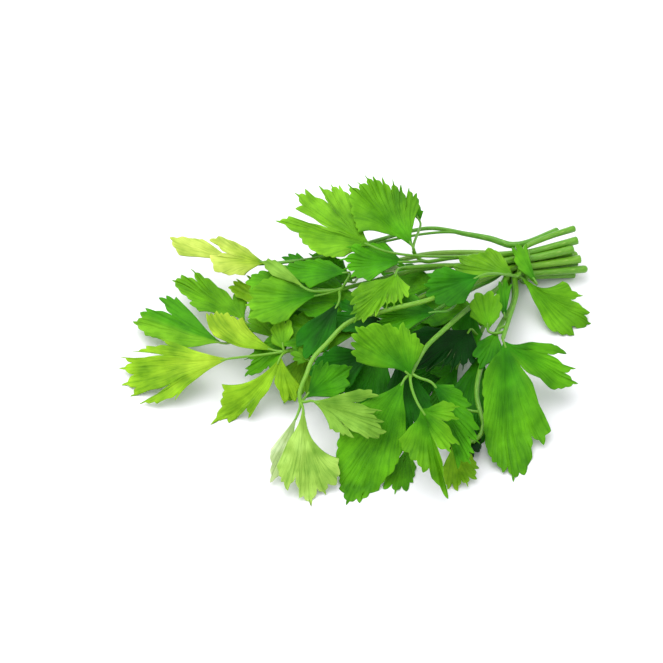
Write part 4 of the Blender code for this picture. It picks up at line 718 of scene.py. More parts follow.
def patch_stiffness():
    """Resistance of the patch to bending along and across, and a little to tilting and to being raised."""
    across, along = PATCH[0] + 1, PATCH[1]
    ahead = np.diff(np.eye(along + 1), n=2, axis=0)[:, 1:]
    side = np.diff(np.eye(across), n=2, axis=0)
    tilt = np.diff(np.eye(across), axis=0)
    bend = np.kron(np.eye(across), ahead.T @ ahead) + np.kron(side.T @ side, np.eye(along))
    return (bend + PATCH_TILT * np.kron(tilt.T @ tilt, np.eye(along))
            + PATCH_RAISE * np.eye(across * along))


def thickness_seen(points, triangles, thickness):
    """Height along the line of sight that a thickness takes on each triangle of a net."""
    a, b, c = (points[triangles[:, k]] for k in range(3))
    normal = np.cross(b - a, c - a)
    normal /= np.linalg.norm(normal, axis=1, keepdims=True) + 1e-12
    sight_line = EYE - (a + b + c) / 3
    sight_line /= sight_line[:, 2:]
    return thickness / np.maximum(np.abs((normal * sight_line).sum(axis=1)), EDGE_ON)


def lay_blade(pile, own, spec, base_height, close):
    """Lays one leaflet on the pile, close to its stem or on a long stalk: its net and its lifts.

    What lies under it bends it up from its base, and raises it whole where its stalk gives way. It is
    settled three times over, because the thickness that is seen depends on how it lies.
    """
    angle, reach, share, triangles = blade_net(spec)
    outline = np.array(OUTLINES[spec["outline"]], float)
    side = (angle - outline[0, 0]) / (outline[-1, 0] - outline[0, 0])
    u, v, rise = blade_form(spec, angle, reach, share)
    rest = np.maximum(base_height + rise, 0.5 * BLADE_ROOM)
    cells, over, weights = cover(np.stack((u, v), axis=1), triangles)
    corners = triangles[over]
    basis = np.column_stack((patch_basis(side, reach), np.ones(len(side))))
    rows = np.einsum("kc,kcn->kn", weights, basis[corners])
    stiffness = np.zeros((rows.shape[1],) * 2)
    stiffness[:-1, :-1] = patch_stiffness()
    stiffness[-1, -1] = STALK_HOLD[close]
    room = MAX_SLOPE * spec["length"] * (weights * reach[corners]).sum(axis=1) + MAX_RISE[close]
    under = pile.under(own, spec["base"], True)[cells]
    level = (weights * rest[corners]).sum(axis=1)
    z = rest
    for _ in range(3):
        at = seen(u, v, z)
        half = thickness_seen(at, triangles, 0.5 * BLADE_ROOM)[over]
        gap = thickness_seen(at, triangles, CLEARANCE)[over]
        lift = settle(rows, np.minimum(under + half + gap - level, room), stiffness)
        z = np.maximum(rest + basis @ lift, 0.5 * BLADE_ROOM)
    pile.add(pile.blades[own], cells, (weights * z[corners]).sum(axis=1) + half)
    return seen(u, v, z), triangles, lift


def tube_samples(u, v, radius):
    """Samples across a tube seen from the eye: cells, the two path points of each and their shares."""
    cells, first, share, rise = [], [], [], []
    for k in range(len(u) - 1):
        a, b = np.array((u[k], v[k])), np.array((u[k + 1], v[k + 1]))
        length = np.linalg.norm(b - a)
        if length < 1e-6:
            continue
        side = np.array((-(b - a)[1], (b - a)[0])) / length
        t = np.linspace(0, 1, max(2, int(length / TUBE_SAMPLE) + 1))
        s = np.linspace(-1, 1, 7)
        tt, ss = (x.ravel() for x in np.meshgrid(t, s, indexing="ij"))
        r = radius[k] + (radius[k + 1] - radius[k]) * tt
        at = a + (b - a) * tt[:, None] + side * (ss * r)[:, None]
        cells.append(cells_of(at))
        first.append(np.full(len(tt), k))
        share.append(tt)
        rise.append(TUBE_TOP * r * np.sqrt(1 - ss ** 2))
    return (np.concatenate(x) for x in (cells, first, share, rise))


def lay_tube(pile, own, path, radius, layer, pinned, with_stems):
    """Lays a stem or a stalk on the pile: its path, raised where it lies over something.

    It stays where it is pinned, and needn't clear anything on the steps that start there.
    """
    u, v, z = sight(path)
    cells, first, share, rise = tube_samples(u, v, radius)
    rows = np.zeros((len(cells), len(path)))
    index = np.arange(len(cells))
    rows[index, first] = 1 - share
    rows[index, first + 1] += share
    under = pile.under(own, None, with_stems)[cells]
    level = rows @ z
    lack = np.where(pinned[first], -1.0, under + rise + TUBE_CLEARANCE - level)
    steps = np.concatenate(([0], np.cumsum(np.hypot(np.diff(u), np.diff(v)))))
    fixed = steps[pinned]
    if len(fixed):
        room = TUBE_SLOPE * np.abs(steps[:, None] - fixed[None, :]).min(axis=1)
        lack = np.minimum(lack, rows @ room)
    stiffness = line_stiffness(len(path)) + np.diag(pinned * PINNED)
    lift = settle(rows, lack, stiffness)
    z = np.maximum(z + lift, radius + TABLE_GAP)
    pile.add(layer, cells, rows @ z + rise)
    return seen(u, v, z)


def stalk_path(stem, join, spec, base_height):
    """A leaflet's stalk: leaves the stem along it and comes into the blade along its heading.

    It is the cubic with those directions at its ends. Each starts at a place of its own inside the stem,
    a little short of the named one.
    """
    where = join * (len(stem) - 1)
    k = min(int(where), len(stem) - 2)
    short = 0.9 + 0.35 * math.sin(spec["heading"]) + 0.01 * spec["length"]
    start = stem[k] + (stem[k + 1] - stem[k]) * (where - k)
    start = start - (stem[k + 1] - stem[k]) / np.linalg.norm(stem[k + 1] - stem[k]) * short
    end = seen(*spec["base"], base_height)
    gap = np.linalg.norm(end - start)
    if gap < SHORT_STALK:
        return np.array((start, end))
    heading = math.radians(spec["heading"])
    inner = seen(spec["base"][0] - math.cos(heading), spec["base"][1] - math.sin(heading), base_height)
    leaving = stem[k + 1] - stem[k]
    leaving = leaving / np.linalg.norm(leaving) * gap * STALK_PULL
    arriving = (end - inner) / np.linalg.norm(end - inner) * gap * STALK_PULL
    t = np.linspace(0, 1, max(3, round(gap / STALK_STEP) + 1))[:, None]
    return ((2 * t ** 3 - 3 * t ** 2 + 1) * start + (t ** 3 - 2 * t ** 2 + t) * leaving
            + (3 * t ** 2 - 2 * t ** 3) * end + (t ** 3 - t ** 2) * arriving)


def lay_stem(pile, name, path, radius):
    """Lays a stem, held as it is about the tie. The winding stem stays as it is drawn."""
    if name == "stem_tie":
        u, v, z = sight(path)
        cells, first, share, rise = tube_samples(u, v, radius)
        pile.add(pile.stems[name], cells, z[first] * (1 - share) + z[first + 1] * share + rise)
        return path
    centre = tie_frame()[0]
    near = np.linalg.norm(path - centre, axis=1) < TIE_REACH
    held = near | (path[:, 0] > centre[0] - TIE_LEFT)
    return lay_tube(pile, name, path, radius, pile.stems[name], held, False)


def lay_leaflet(pile, name, stem, spec):
    """Lays a leaflet and its stalk: the stalk's path and radii, and the blade's height and lifts."""
    height = spec["base_height"]
    if height is None:
        height = stem[int(spec["join"] * (len(stem) - 1)), 2]
    close = len(stalk_path(stem, spec["join"], spec, height)) <= CLOSE_POINTS
    points, triangles, lift = lay_blade(pile, name, spec, height, close)
    stalk = stalk_path(stem, spec["join"], spec, points[0, 2])
    if len(stalk) > CLOSE_POINTS:
        radius = np.linspace(STALK_RADIUS, STALK_END_RADIUS, len(stalk))
        pinned = np.zeros(len(stalk), bool)
        pinned[[0, -1]] = True
        stalk = lay_tube(pile, name, stalk, radius, pile.blades[name], pinned, True)
    middle = len(triangles[triangles[:, 0] == 0]) // 2
    inside = points[triangles[middle][1:]].mean(axis=0) - points[0]
    stalk = np.vstack((stalk, points[0] + inside / np.linalg.norm(inside) * INSIDE_BLADE))
    return (stalk, np.linspace(STALK_RADIUS, STALK_END_RADIUS, len(stalk))), (spec, height, lift)


def lay_bunch():
    """Lays all stems, stalks and leaflets by their turns: the tubes and the blades of each node."""
    stems = dict(LEAFY_STEMS, stem_tie=TIE_STEM)
    paths = {name: stem_path(spec, i) for i, (name, spec) in enumerate(LEAFY_STEMS.items())}
    paths["stem_tie"] = tie_path()
    paths = untangle(paths)
    pile = Pile(list(stems))
    turns = [(spec["level"], name, None) for name, spec in stems.items()]
    turns += [(leaflet["level"], name, leaflet) for name in stems for leaflet in stems[name]["leaves"]]
    laid = {name: dict(tubes=[], blades=[]) for name in stems}
    for _, name, spec in sorted(turns, key=lambda turn: turn[0]):
        if spec is None:
            radius = stem_radius(paths[name], name)
            paths[name] = lay_stem(pile, name, paths[name], radius)
            laid[name]["tubes"].append((paths[name], radius))
        else:
            stalk, sheet = lay_leaflet(pile, name, paths[name], spec)
            laid[name]["tubes"].append(stalk)
            laid[name]["blades"].append(sheet)
    return laid


laid = lay_bunch()

# Leaflet blades
# Thin cut leaves, green above and paler below, each grown on a slim stalk. Ribs run from the stalk into
# the lobes and give off a vein into each tooth. The blade is folded a little along its ribs.
# Half its thickness, the width of the rim where it thins out, and the rows from its base to its edge.
SHEET = 0.15
EDGE = 0.2
ROWS = 22
# The cut edge: grid columns from a tooth's tip to its notch; how a notch is deepened, by a fixed step, a
# part of its depth and at most; the flank that gets a small tooth more, how far that stands off, and
# where its notch and tip are and must stay on the way from the flank's tip.
TOOTH_STEPS = 5
NOTCH_DEEPER = (0.3, 0.9, 3.2)
LONG_FLANK = 4.2
SMALL_TOOTH = 0.55
SMALL_NOTCH_AT = 0.40
SMALL_TIP_AT = 0.62
SMALL_WITHIN = ((0.08, 0.5), (0.45, 0.92))
# A notch ends a lobe where it is nearer to the base than this part of the teeth beside it. Columns draw
# in to the lobe's rib by RIB_PULL, and the waist has ended at this part of the way to the edge.
DEEP_NOTCH = 0.82
RIB_PULL = 0.75
WAIST_END = 0.62
# The relief: depth of a lobe's trough as a part of its half width; swelling between veins, and the width
# over which it comes up; heights of the waves and of the ruffled edge, the fall of the curled edge, and
# the waves' radians for each millimetre out or each radian round the base. Normals are steadied over
# STEADY columns to each side.
FOLD = 0.16
SWELL = 0.12
VEIN_WIDTH = 0.8
WAVE = 0.6
WAVE_OUT = 0.24
WAVE_ROUND = 3.0
SECOND_WAVE = 0.5
RUFFLE = 0.45
RUFFLE_WAVE = 0.9
CURL = 0.8
STEADY = 3
# Tones as they look in even white light, but shade, which is painted shade: a near-black green
# for leaflets deep in the bunch, where the light hardly reaches.
TONES = {
    "yellow": (0.67, 0.77, 0.30), "yellow_lime": (0.57, 0.72, 0.17), "lime": (0.49, 0.69, 0.12),
    "bright": (0.42, 0.66, 0.12), "fresh": (0.36, 0.61, 0.09), "green": (0.32, 0.59, 0.07),
    "mid": (0.27, 0.56, 0.06), "deep": (0.20, 0.49, 0.04), "dark": (0.13, 0.41, 0.03),
    "shade": (0.03, 0.22, 0.01), "pale": (0.70, 0.80, 0.52), "dull": (0.44, 0.63, 0.20),
    "pale_lime": (0.58, 0.75, 0.30),
}


def linear(colour):
    """A tone as light: each part of it to the power 2.2."""
    return np.asarray(colour, float) ** 2.2


def smooth_step(low, high, value):
    """0 below low, 1 above high, and t^2 (3 - 2t) between them."""
    t = np.clip((value - low) / (high - low), 0, 1)
    return t * t * (3 - 2 * t)


def serrated(outline, length):
    """The outline with deeper notches and a small tooth more on each long flank.

    A notch goes in by a fixed step and a part of its own depth, up to a limit, in millimetres. A flank is
    taken in millimetres across and along the blade. Its small notch is set in at right angles to it, and
    its small tip is set out by half as much.
    """
    outline = outline.astype(float)
    step, part, most = NOTCH_DEEPER
    depth = np.minimum(outline[:-2:2, 1], outline[2::2, 1]) - outline[1:-1:2, 1]
    outline[1:-1:2, 1] -= np.clip(step * 100 / length + part * depth, 0, most * 100 / length)
    points = [outline[0]]
    for k, (a, b) in enumerate(zip(outline, outline[1:])):
        tip, notch = (a, b) if k % 2 == 0 else (b, a)
        scale = np.array((math.radians(0.5) * (a[1] + b[1]), 1.0)) * length / 100
        flank = (notch - tip) * scale
        size = math.hypot(*flank)
        if size > LONG_FLANK:
            out = np.array((-flank[1], flank[0])) * math.copysign(1.0, flank[0]) / size
            small = np.array((tip + (SMALL_NOTCH_AT * flank - SMALL_TOOTH * out) / scale,
                              tip + (SMALL_TIP_AT * flank + 0.5 * SMALL_TOOTH * out) / scale))
            turn = notch[0] - tip[0]
            small[:, 0] = tip[0] + turn * np.clip((small[:, 0] - tip[0]) / turn, *SMALL_WITHIN)
            points += list(small if k % 2 == 0 else small[::-1])
        points.append(b)
    return np.array(points)


def lobes(outline):
    """The lobes of a leaflet: first and last outline point of each, and its longest tooth between them.

    A lobe ends at a notch that is a good deal nearer to the base than the teeth beside it.
    """
    reach = outline[:, 1]
    ends = [0]
    for k in range(1, len(outline) - 1, 2):
        if reach[k] < DEEP_NOTCH * min(reach[k - 1], reach[k + 1]):
            ends.append(k)
    ends.append(len(outline) - 1)
    return [(a, b, a + int(reach[a:b + 1].argmax())) for a, b in zip(ends, ends[1:])]


def tooth_edge(outline):
    """The fine cut edge: places along the outline, their angles, reaches and steps to the nearest tooth.

    With x the part of the way from a notch to a tip, the reach rises as s x + (1 - s) (1 - (1 - x)^3).
    s is 0.6 less twice the notch's depth, from 0.08 to 0.5, so that teeth are round with a small point
    and slits narrow. Where a tip is no further out than its notch, the edge bows out between them.
    """
    place = np.linspace(0, len(outline) - 1, TOOTH_STEPS * (len(outline) - 1) + 1)
    k = np.minimum(place.astype(int), len(outline) - 2)
    from_tooth = np.abs(place - 2 * np.round(place / 2))
    tip = np.where(k % 2 == 0, k, k + 1)
    notch = np.where(k % 2 == 0, k + 1, k)
    x = 1 - from_tooth
    low, high = outline[notch, 1] / 100, outline[tip, 1] / 100
    straight = np.clip(0.6 - 2.0 * (high - low), 0.08, 0.5)
    turn = np.radians(np.abs(outline[tip, 0] - outline[notch, 0])) * high
    rising = low + (high - low) * (straight * x + (1 - straight) * (1 - (1 - x) ** 3))
    bowed = low + (high - low) * x + 0.2 * turn * x * (1 - x)
    angle = np.interp(place, np.arange(len(outline)), outline[:, 0])
    return place, angle, np.where(high > low, rising, bowed), from_tooth


def lobe_places(outline, place, angle):
    """Where each column is in its lobe.

    The angle of the lobe's rib, the turn from there to the lobe's end, half the lobe's width, all in
    degrees, and x, the part of that turn at which the column is.
    """
    rib, half, width, x = (np.zeros(len(place)) for _ in range(4))
    for first, last, longest in lobes(outline):
        for end in (first, last):
            side = outline[end, 0] - outline[longest, 0]
            here = (place >= min(end, longest)) & (place <= max(end, longest)) & (side != 0)
            rib = np.where(here, outline[longest, 0], rib)
            half = np.where(here, side, half)
            width = np.where(here, 0.5 * (outline[last, 0] - outline[first, 0]), width)
            x = np.where(here, (angle - outline[longest, 0]) / (side or 1.0), x)
    return rib, half, width, x


def blade_surface(spec, height, lift):
    """The laid middle surface of a leaflet, on rows from the base outward and columns across.

    A column ends on the cut edge at its own angle. Towards the base it draws in to its lobe's rib, by a
    part of the lobe's side times x (1 - x^2) that fades outward as (1 - share)^1.5, and the whole blade
    narrows to its waist. With it come the share of the way to the edge, the angle in radians, and in
    millimetres the reach, the distances to the nearest vein and rib, and the lobe's half width, of which
    x is a part.
    """
    outline = serrated(np.array(OUTLINES[spec["outline"]]), spec["length"])
    place, angle, edge, from_tooth = tooth_edge(outline)
    share = np.append(np.linspace(0, 1, ROWS) ** 0.9 * (1 - EDGE / spec["length"]), 1.0)[:, None]
    rib_angle, half, width, x = lobe_places(outline, place, angle)
    waist = spec["waist"] + (1 - spec["waist"]) * smooth_step(0.0, WAIST_END, share)
    turned = (angle - RIB_PULL * half * x * (1 - x * x) * (1 - share) ** 1.5) * waist
    reach = share * edge
    share = np.broadcast_to(share, reach.shape)
    u, v, rise = blade_form(spec, turned, reach, share)
    side = np.clip((turned - outline[0, 0]) / (outline[-1, 0] - outline[0, 0]), 0, 1)
    raised = patch_basis(side.ravel(), reach.ravel()) @ lift[:-1]
    z = np.maximum(height + rise + raised.reshape(reach.shape) + lift[-1], SHEET)
    reach = reach * spec["length"]
    at = dict(share=share, reach=reach, x=x, angle=np.radians(turned), width=np.radians(width) * reach)
    at["vein"] = from_tooth * np.radians(np.abs(np.gradient(turned, place, axis=1))) * reach
    at["rib"] = np.radians(np.abs(turned - rib_angle * waist)) * reach
    return seen(u, v, z), at


def blade_relief(spec, at):
    """How far the blade stands off its laid surface.

    Each lobe is hollow like a shallow trough along its rib, by a part of its half width times
    (1 - x^2)^2, and the blade swells between its veins, both as the sine of half a turn from base to
    edge. Two slow sine waves run out along the blade. With far its reach as a part of the leaflet's
    length, a quicker wave ruffles it as far^4, and it curls down as far^6.
    """
    share, reach = at["share"], at["reach"]
    body = np.sin(np.pi * share ** 0.8)
    trough = -FOLD * at["width"] * (1 - at["x"] ** 2) ** 2 * body
    swell = SWELL * (1 - np.exp(-(at["vein"] / VEIN_WIDTH) ** 2)) * body
    phase = 1.7 * spec["heading"] + 2.3 * spec["level"]
    first = np.sin(WAVE_OUT * reach + WAVE_ROUND * at["angle"] + phase)
    wave = WAVE * share * (first + 0.5 * np.sin(SECOND_WAVE * reach - phase))
    far = reach / spec["length"]
    ruffle = RUFFLE * far ** 4 * np.sin(RUFFLE_WAVE * reach * at["angle"] + phase)
    return trough + swell + wave + ruffle - CURL * far ** 6


def normals(grid):
    """Unit normals of a grid, all to one side of it as the eye sees it.

    The cross product of its slopes down the rows and across the columns, summed over each point and the
    columns beside it, so that slopes where columns crowd together count for little.
    """
    down, across = np.gradient(grid, axis=0), np.gradient(grid, axis=1)
    across[0] = across[1]
    normal = np.cross(down, across)
    facing = (normal * (EYE - grid)).sum(axis=2, keepdims=True)
    normal *= np.sign(facing) * np.sign(facing.sum())
    padded = np.pad(normal, ((0, 0), (STEADY, STEADY), (0, 0)), mode="edge")
    normal = sum(padded[:, k:k + grid.shape[1]] for k in range(2 * STEADY + 1))
    return normal / np.maximum(np.linalg.norm(normal, axis=2, keepdims=True), 1e-9)


def grid_triangles(index):
    """Two triangles for each square of a grid of point numbers, less those that have no width."""
    a, b, c, d = index[:-1, :-1], index[1:, :-1], index[1:, 1:], index[:-1, 1:]
    both = np.vstack((np.stack((a, b, c), -1).reshape(-1, 3), np.stack((a, c, d), -1).reshape(-1, 3)))
    wide = (both[:, 0] != both[:, 1]) & (both[:, 1] != both[:, 2]) & (both[:, 2] != both[:, 0])
    return both[wide]


def over_shell(values):
    """The values of a grid at its shell's points: the base, the upper side, then the lower side."""
    flat = (-1,) + values.shape[2:]
    return np.concatenate((values[0, :1], values[1:].reshape(flat), values[1:-1, 1:-1].reshape(flat)))


def blade_look(spec, at):
    """What a leaf's material reads over its grid: share, vein, rib, places and the leaflet's tone.

    flat is a place on the spread blade, and grain one on which the veins lie side by side; each leaflet
    has them at a level of its own. The tone passes from the first to the last of the leaflet's own,
    outward or, where it is so given, from side to side, as painted light on one half and painted shade
    on the other.
    """
    share, reach, angle = at["share"], at["reach"], at["angle"]
    level = np.full(share.shape, 3.0 * spec["level"])
    side = (angle - angle.min()) / np.ptp(angle)
    blend = smooth_step(0.42, 0.6, side) if spec["across"] else smooth_step(0.1, 0.95, share)
    names = spec["tones"].split()
    first, last = linear(TONES[names[0]]), linear(TONES[names[-1]])
    look = dict(share=share, vein=at["vein"], rib=at["rib"])
    look["flat"] = np.stack((reach * np.cos(angle), reach * np.sin(angle), level), -1)
    look["grain"] = np.stack((0.6 * spec["length"] * angle, 0.06 * reach, level), -1)
    look["tone"] = np.dstack((first + (last - first) * blend[..., None], np.ones(share.shape)))
    return look


def blade_shell(spec, height, lift):
    """A leaflet's closed shell: its points, its triangles, and what its material reads at each point.

    The laid surface with its relief is carried half the thickness to both sides, and kept off the
    table. The two sides share their base point and their edge.
    """
    middle, at = blade_surface(spec, height, lift)
    middle = middle + normals(middle) * blade_relief(spec, at)[..., None]
    middle[..., 2] = np.maximum(middle[..., 2], SHEET)
    normal = normals(middle)
    upper = middle + SHEET * normal
    lower = (middle - SHEET * normal)[1:-1, 1:-1].reshape(-1, 3)
    upper[0], upper[-1], upper[:, 0], upper[:, -1] = middle[0], middle[-1], middle[:, 0], middle[:, -1]
    points = np.vstack((upper[0, :1], upper[1:].reshape(-1, 3), lower))
    points[:, 2] = np.maximum(points[:, 2], 0.0)
    rows, columns = at["share"].shape
    above = np.zeros((rows, columns), int)
    above[1:] = 1 + np.arange((rows - 1) * columns).reshape(rows - 1, columns)
    below = above.copy()
    below[1:-1, 1:-1] = above.max() + 1 + np.arange(len(lower)).reshape(rows - 2, columns - 2)
    triangles = np.vstack((grid_triangles(above), grid_triangles(below)[:, ::-1]))
    look = {key: over_shell(values) for key, values in blade_look(spec, at).items()}
    look["under"] = (np.arange(len(points)) >= len(points) - len(lower)).astype(float)
    return points, triangles, look


def joined(shells):
    """Several shells as one: points, triangles and looks, the triangles' numbers moved on."""
    start = np.cumsum([0] + [len(points) for points, _, _ in shells])
    points = np.vstack([shell[0] for shell in shells])
    triangles = np.vstack([shell[1] + offset for shell, offset in zip(shells, start)])
    look = {key: np.concatenate([shell[2][key] for shell in shells]) for key in shells[0][2]}
    return points, triangles, look


# What an attribute is called in the mesh, by the numbers that it has at each point.
ATTRIBUTE_KINDS = {1: ("FLOAT", "value"), 3: ("FLOAT_VECTOR", "vector"), 4: ("FLOAT_COLOR", "color")}


def shell_object(name, points, triangles, look, material):
    """A smooth mesh object of a shell, its looks kept as attributes of its points."""
    mesh = bpy.data.meshes.new(name)
    mesh.vertices.add(len(points))
    mesh.vertices.foreach_set("co", ((points + PLACE) * MM).ravel())
    mesh.loops.add(triangles.size)
    mesh.loops.foreach_set("vertex_index", triangles.ravel())
    mesh.polygons.add(len(triangles))
    mesh.polygons.foreach_set("loop_start", 3 * np.arange(len(triangles)))
    mesh.update(calc_edges=True)
    mesh.shade_smooth()
    for key, values in look.items():
        kind, field = ATTRIBUTE_KINDS[values[0].size]
        mesh.attributes.new(key, kind, "POINT").data.foreach_set(field, np.ravel(values))
    mesh.materials.append(material)
    obj = bpy.data.objects.new(name, mesh)
    bpy.context.scene.collection.objects.link(obj)
    return obj


class Wire:
    """An output of a shader node that takes part in Python's arithmetic, each operation a Math node."""

    def __init__(self, tree, socket=None):
        self.tree = tree
        self.socket = socket

    def node(self, kind, settings=None, inputs=None, output=0):
        """A new node of that kind: its settings first, then the values or links of its sockets."""
        made = self.tree.nodes.new(kind)
        for key, value in (settings or {}).items():
            setattr(made, key, value)
        for key, value in (inputs or {}).items():
            if isinstance(value, Wire):
                self.tree.links.new(value.socket, made.inputs[key])
            else:
                made.inputs[key].default_value = value
        return Wire(self.tree, made.outputs[output])

    def math(self, operation, *values):
        """A Math node on values or wires."""
        return self.node("ShaderNodeMath", dict(operation=operation), dict(enumerate(values)))

    def __add__(self, other):
        return self.math("ADD", self, other)

    def __sub__(self, other):
        return self.math("SUBTRACT", self, other)

    def __mul__(self, other):
        return self.math("MULTIPLY", self, other)

    def __rsub__(self, other):
        return self.math("SUBTRACT", other, self)

    __radd__ = __add__
    __rmul__ = __mul__

    def attribute(self, name, output="Fac"):
        """An attribute of the mesh, as a number or by its Vector or Color output."""
        return self.node("ShaderNodeAttribute", dict(attribute_name=name), output=output)

    def ramp(self, low, high):
        """0 at low, 1 at high and smooth between them. low may be the greater."""
        settings = dict(interpolation_type="SMOOTHSTEP")
        return self.node("ShaderNodeMapRange", settings, {"Value": self, "From Min": low, "From Max": high})

    def mix(self, other, factor, blend="MIX"):
        """This colour mixed with another by a factor."""
        settings = dict(data_type="RGBA", blend_type=blend)
        return self.node("ShaderNodeMix", settings, {0: factor, 6: self, 7: other}, output=2)

    def noise(self, scale, detail=2.0):
        """Noise read at this place."""
        return self.node("ShaderNodeTexNoise", None, {"Vector": self, "Scale": scale, "Detail": detail})


def new_material(name):
    """An empty node material, and a wire in it to start from."""
    material = bpy.data.materials.new(name)
    material.use_nodes = True
    material.node_tree.nodes.clear()
    return material, Wire(material.node_tree)


def finish_material(shader):
    """Leads a shader to the material's output."""
    output = shader.tree.nodes.new("ShaderNodeOutputMaterial")
    shader.tree.links.new(shader.socket, output.inputs["Surface"])


# What a leaf's tone is multiplied by where it is dark and where it is light, and the colour that its
# underside is mixed with. The dark and light patches are partly random mottling and partly painted
# shade and painted light, the shaded and lit zones of a folded blade; the light rim is a painted
# highlight.
DARK_STREAK = (0.55, 0.67, 0.48, 1.0)
MOTTLE_AND_PAINTED_SHADE = (0.42, 0.58, 0.32, 1.0)
DARK_LINE = (0.62, 0.72, 0.55, 1.0)
MOTTLE_AND_PAINTED_LIGHT = (1.5, 1.4, 1.9, 1.0)
LIGHT_VEIN = (1.5, 1.28, 1.8, 1.0)
# Painted highlight: how much lighter the rim is painted.
PAINTED_RIM_HIGHLIGHT = (1.3, 1.15, 1.5, 1.0)
UNDERSIDE = (0.36, 0.52, 0.20, 1.0)


def leaf_material():
    """A leaf: its tone streaked along the veins, mottled with painted light and shade, light veins, a
    painted highlight on the rim, a paler back and a soft sheen.
    """
    material, start = new_material("parsley_leaf")
    share = start.attribute("share")
    under = start.attribute("under")
    flat = start.attribute("flat", "Vector")
    grain = start.attribute("grain", "Vector")
    streaks = grain.noise(1.3, 3.0)
    lines = grain.noise(4.0, 2.0)
    mottle_light_and_shade = flat.noise(0.1)
    vein = start.attribute("vein").ramp(0.45, 0.0) * share.ramp(0.05, 0.4) * share.ramp(1.0, 0.85)
    rib = start.attribute("rib").ramp(0.6, 0.0) * share.ramp(1.0, 0.7)
    veins = (vein * 0.6).math("MAXIMUM", rib)
    tone = start.attribute("tone", "Color")
    tone = tone.mix(DARK_STREAK, streaks.ramp(0.55, 0.3) * 0.7, "MULTIPLY")
    # Painted shade, partly random mottling: the tone darkened in large patches.
    tone = tone.mix(MOTTLE_AND_PAINTED_SHADE, mottle_light_and_shade.ramp(0.54, 0.25) * 0.85, "MULTIPLY")
    tone = tone.mix(DARK_LINE, lines.ramp(0.52, 0.3) * 0.6, "MULTIPLY")
    # Painted light, partly random mottling: the tone lightened in large patches.
    tone = tone.mix(MOTTLE_AND_PAINTED_LIGHT, mottle_light_and_shade.ramp(0.47, 0.75) * 0.9, "MULTIPLY")
    tone = tone.mix(LIGHT_VEIN, veins * 0.45, "MULTIPLY")
    # Painted highlight along the cut edge.
    tone = tone.mix(PAINTED_RIM_HIGHLIGHT, share.ramp(0.95, 1.0) * 0.6, "MULTIPLY")
    tone = tone.mix(UNDERSIDE, under * 0.4)
    cells = start.node("ShaderNodeTexVoronoi", dict(feature="DISTANCE_TO_EDGE"),
                       {"Vector": flat, "Scale": 0.9})
    relief = cells.ramp(0.0, 0.25) * 0.05 + streaks * 0.14 + lines * 0.08 - veins * 0.03
    bump = start.node("ShaderNodeBump", None, {"Strength": 0.8, "Distance": MM, "Height": relief})
    finish_material(start.node("ShaderNodeBsdfPrincipled", None, {
        "Base Color": tone, "Roughness": 0.42 + under * 0.18 + mottle_light_and_shade * 0.1, "Normal": bump,
        "Specular IOR Level": 0.1,
    }))
    return material


leaf_green = leaf_material()
for name, pieces in laid.items():
    shells = [blade_shell(*sheet) for sheet in pieces["blades"]]
    leaflets = shell_object(name + "_leaflets", *joined(shells), leaf_green)
    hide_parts(name)
    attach(leaflets, "root")

# Stems and stalks
# Juicy ribbed green stems, cut square at the right, each with slim stalks that run into its leaflets.
# They are one growth with the leaflets, and the thirteenth is wound round the others as their tie.
# RIB_HEIGHT is a part of the radius, and FINE_STEP the length between rings.
STEM_SIDES = 26
STALK_SIDES = 12
RIBS = 9
RIB_HEIGHT = 0.055
FINE_STEP = 0.9
# The cut face is a little hollow: places from its middle outward, and how far each stands out there, as
# parts of the radius. Other ends are rounded off in this many steps.
CUT_ACROSS = np.array((0.35, 0.8, 0.97))
CUT_OUT = np.array((-0.10, -0.04, 0.0))
CUT_MIDDLE = -0.12
ROUND_STEPS = 4
# Stems that aren't fresh green.
STEM_TONES = {
    "stem_left_back": "dull", "stem_left": "bright", "stem_back": "green", "stem_inner": "mid",
    "stem_front_left": "bright",
}


def carried_frame(path):
    """The direction along a path and two square to it, at each of its points.

    The first of the two is the one at the point before, less what it has along the new direction.
    """
    along = np.gradient(path, axis=0)
    along /= np.linalg.norm(along, axis=1, keepdims=True)
    side = np.empty_like(along)
    last = np.cross(along[0], UP)
    for k, direction in enumerate(along):
        last = last - (last @ direction) * direction
        last = last / np.linalg.norm(last)
        side[k] = last
    return along, side, np.cross(along, side)


